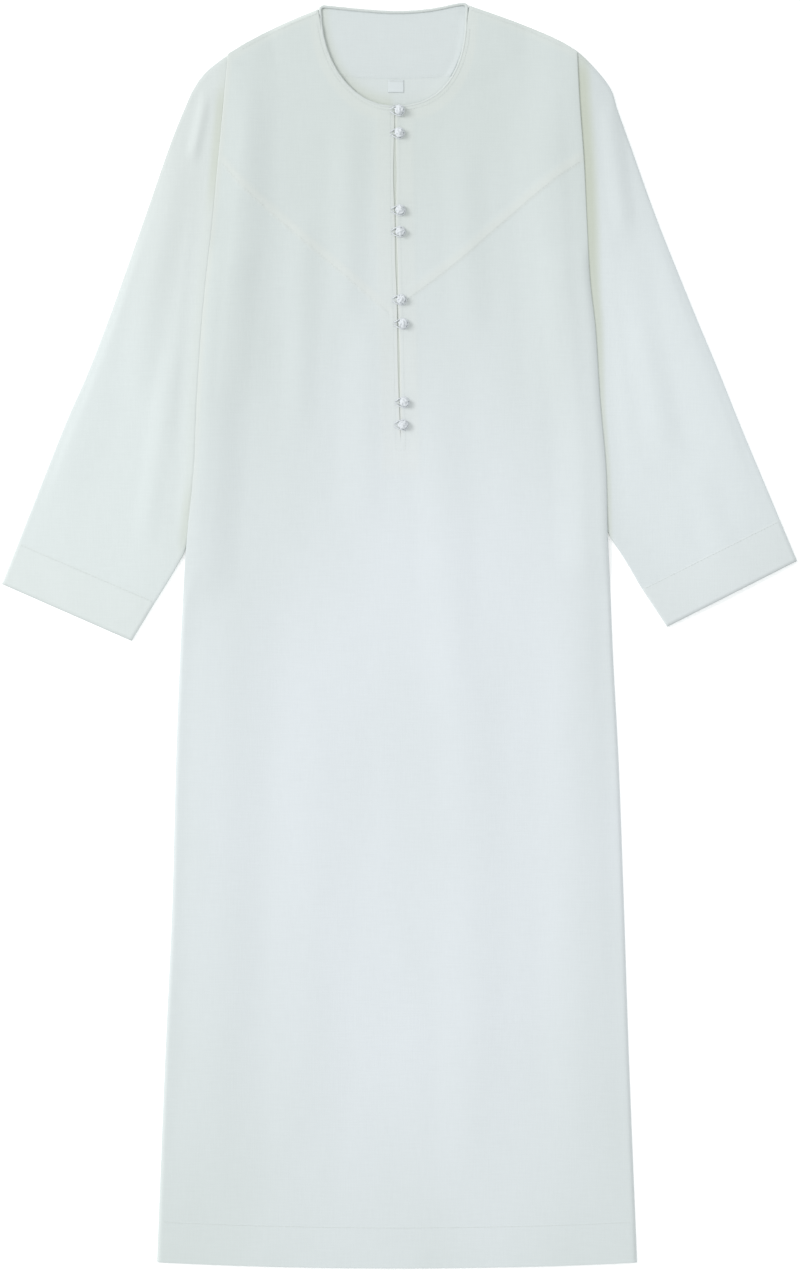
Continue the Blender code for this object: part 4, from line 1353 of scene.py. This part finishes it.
facing_mesh = grid_mesh("facing", [facing()])
facing_piece = link("back_neck_facing_cloth", facing_mesh, FACING_CLOTH)
thicken(facing_piece, FACING_SHELL)
tint(facing_piece.data, shade=neck_shade)
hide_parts("back_neck_facing")
label_mesh = grid_mesh("label", [label()])
label_piece = thicken(link("bare_size_label", label_mesh, LABEL), LABEL_SHELL)
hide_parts("size_label")
print("facing:", round(plan_area(facing_piece.data), 5), "label:", round(plan_area(label_piece.data), 6))


# %% [markdown]
# ## Knot buttons
# Each button is one cord braided into a ball: three strands go round it side by side, and each
# crosses over one neighbour and under the next. In numbers, the strand's height on the ball is a sine
# of the way round, and its distance from the middle a sine of twice that way, so it weaves.

# %% Knots
BUTTONS = (("x", "y"), (-0.0004, 0.4362), (-0.0004, 0.4175), (0.0004, 0.3534), (0.0004, 0.3355),
           (0.0012, 0.2789), (0.0029, 0.2590), (0.0037, 0.1936), (0.0029, 0.1749))
KNOT_CORD = 0.0010
KNOT_SHARE = 0.92          # the wound ball is a little smaller than its plain solid
LEADS = 3
BIGHTS = 5
KNOT_BAND = 52             # degrees that a strand reaches above and below the ball's middle
KNOT_WEAVE = 0.00045       # how far a strand goes over or under its neighbour


def knot_route(radius):
    middle = radius - KNOT_CORD - 0.00025
    route = []
    for index in range(240):
        t = 2 * math.pi * index / 240
        around = LEADS * t
        up = math.radians(KNOT_BAND) * math.sin(BIGHTS * t)
        reach = middle + KNOT_WEAVE * math.sin(2 * BIGHTS * t)
        flat = reach * math.cos(up)
        route.append(Vector((flat * math.cos(around), flat * math.sin(around), reach * math.sin(up))))
    return route


def knot(number):
    low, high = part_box(f"button_{number}")
    radius = KNOT_SHARE * (high[0] - low[0]) / 2
    centre = Vector([(a + b) / 2 for a, b in zip(low, high)])
    squash = (high[2] - low[2]) / (high[0] - low[0])
    bm = bmesh.new()
    bmesh.ops.create_icosphere(bm, subdivisions=3, radius=radius - 1.1 * KNOT_CORD)
    sweep(bm, knot_route(radius), KNOT_CORD, sides=10, closed=True, strands=2, pitch=0.004, depth=0.06)
    lean = Matrix.Rotation(math.radians(58 + 9 * math.sin(number * 2.1)), 4, "X")
    turn = Matrix.Rotation(math.radians(37 * number), 4, "Z")
    bm.transform(Matrix.Translation(centre) @ Matrix.Diagonal((1, 1, squash, 1)) @ turn @ lean)
    return to_mesh(f"knot_{number}", bm)


for number in range(1, len(BUTTONS)):
    piece = link(f"knot_{number}", knot(number), CORD)
    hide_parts(f"button_{number}")
print("knots:", len(BUTTONS) - 1, "of", len(piece.data.polygons), "faces")


# %% [markdown]
# ## Loops
# A thin plied cord goes round each knot's foot, and its two ends are sewn down beside the slit.

# %% Loops
LOOP_RADIUS = 0.0043
LOOP_CORD = 0.0006
LOOP_TAIL = (("back", "aside"), (0.0075, 0.0012), (0.0060, 0.0016), (0.0045, 0.0028))


def loop(number, x, y):
    low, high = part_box(f"loop_{number}")
    height = low[2] + LOOP_CORD
    turn = [math.radians(angle) for angle in range(-120, 121, 10)]
    arc = [(x + LOOP_RADIUS * math.cos(a), y + LOOP_RADIUS * math.sin(a), height) for a in turn]
    start = [(x - back, y - aside, height) for back, aside in LOOP_TAIL[1:]]
    end = [(x - back, y + aside, height) for back, aside in reversed(LOOP_TAIL[1:])]
    bm = bmesh.new()
    route = resample(start + arc + end, 0.0003)
    sweep(bm, route, LOOP_CORD, sides=9, strands=3, pitch=0.0018, depth=0.22)
    return to_mesh(f"cord_loop_{number}", bm)


for number, (x, y) in enumerate(BUTTONS[1:], 1):
    piece = link(f"cord_loop_{number}", loop(number, x, y), CORD)
    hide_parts(f"loop_{number}")
print("loops of", len(piece.data.polygons), "faces")


# %% [markdown]
# ## Stitches
# Rows of stitches hold the hems, the slit's facing and the V seam. Each stitch is a small spindle that
# dips into the cloth at both ends, and a whole row is one mesh.

# %% Stitch rows
STITCH = 0.0022
STITCH_PITCH = 0.0028
THREAD_RADIUS = 0.00019
HEM_STITCH = 0.0012       # a hem's row lies this far inside its line
FINE = {"pitch": 0.0024, "length": 0.0019}


def stitch_row(bm, route, height, pitch=STITCH_PITCH, length=STITCH, thickness=THREAD_RADIUS):
    """Adds stitches along a plan route, on the surface that height gives."""
    points = resample([Vector((x, y, 0)) for x, y in route], pitch)
    for one, two in zip(points, points[1:]):
        run = (two - one).normalized()
        across = Vector((-run.y, run.x, 0))
        middle = (one + two) / 2
        rings = []
        for along, thick in ((-0.5, 0.35), (-0.28, 0.9), (0.0, 1.0), (0.28, 0.9), (0.5, 0.35)):
            at = middle + run * (along * length)
            top = height(at.x, at.y) + thickness * (0.9 - 3.2 * abs(along) ** 2)
            ring = []
            for turn in range(5):
                angle = 2 * math.pi * turn / 5
                point = at + across * (thick * thickness * math.cos(angle))
                point.z = top + thick * thickness * math.sin(angle)
                ring.append(bm.verts.new(point))
            rings.append(ring)
        for first, second in zip(rings, rings[1:]):
            for turn in range(5):
                after = (turn + 1) % 5
                bm.faces.new((first[turn], first[after], second[after], second[turn]))
        bm.faces.new(rings[0])
        bm.faces.new(rings[-1])


def stitched(name, rows, height, **sizes):
    bm = bmesh.new()
    for route in rows:
        stitch_row(bm, route, height, **sizes)
    bmesh.ops.recalc_face_normals(bm, faces=bm.faces)
    piece = link(name, to_mesh(name, bm), THREAD)
    print(name, len(piece.data.polygons), "faces")
    return piece


# %% Rows on the front
def hem_row():
    low, high = (side(-0.49, which) - sign(which) * 0.004 for which in SIDES)
    return [(x, hem_y(x) + HEM_DEPTH - HEM_STITCH) for x in stations(low, high, 0.01)]


def seam_row(which):
    ends = (side(0.39, which) - sign(which) * 0.004, slit_x(SEAM_POINT_Y) + sign(which) * 0.003)
    above = HEM_STITCH / SEAM_SQUARE
    return [(x, seam_curve[which](x) + above) for x in stations(min(ends), max(ends), 0.006)]


def placket_rows():
    levels = stations(SLIT_END - 0.006, NECK_BOTTOM - 0.006, 0.01)
    rows = [[(slit_x(y) + sign(which) * STITCH_IN, y) for y in levels] for which in SIDES]
    foot = [(slit_x(SLIT_END) + dx, SLIT_END - 0.006) for dx in (-STITCH_IN, STITCH_IN)]
    return rows + [foot]


def neck_row(which):
    angles = [lerp(0.12, math.pi / 2 - 0.06, index / 40) for index in range(41)]
    return [neck_point(angle, which, NECK_TURN + 0.0022) for angle in angles]


def shoulder_row(which):
    ends = (side(0.48, which) - sign(which) * 0.012, NECK_X + sign(which) * (NECK_HALF + NECK_TURN + 0.002))
    return [(x, shoulder_y(x) - 0.0036) for x in stations(min(ends), max(ends), 0.006)]


hem_stitches = stitched("hem_stitches", [hem_row()], front_top)
stitched("yoke_seam_stitches", [seam_row(which) for which in SIDES], front_height, thickness=0.00012)
stitched("slit_stitches", placket_rows(), front_height, thickness=0.00009, **FINE)
stitched("neck_stitches", [neck_row(which) for which in SIDES], front_height, **FINE)
stitched("shoulder_stitches", [shoulder_row(which) for which in SIDES], front_height)


# %% Rows on the cuffs, the facing and the label
def cuff_stitches(which):
    step = cuff_step(which, CUFF_DEPTH - HEM_STITCH)
    outer, inner = sleeve_folds_at(which, step)
    width = (inner - outer).length

    def height(x, y):
        distance = (Vector((x, y)) - outer).dot((inner - outer).normalized())
        return sleeve_top(x, y, which, width, distance, CUFF_DEPTH - HEM_STITCH)

    row = [tuple(outer.lerp(inner, lerp(0.02, 0.98, index / 30))) for index in range(31)]
    return stitched(f"cuff_stitches_{which}", [row], height)


cuffs = {which: cuff_stitches(which) for which in SIDES}
facing_row = [(x, facing_low(x) + 0.0016) for x in stations(NECK_X - 0.0520, NECK_X + 0.0520, 0.005)]
facing_stitches = stitched("facing_stitches", [facing_row], facing_level, thickness=0.00008)
label_row = [(LABEL_AT[0] + dx, LABEL_AT[1] + 0.0040) for dx in (-0.0056, 0.0056)]
label_stitches = stitched("label_stitches", [label_row], lambda x, y: LABEL_REST + 0.0001,
                          pitch=0.0016, length=0.0012)

# %% [markdown]
# ## Plan area
# The back's and the skirt's plan areas are printed together.

# %% Plan area
print("back and skirt:", round(plan_area(back.data) + plan_area(skirt.data), 3), "square metres")
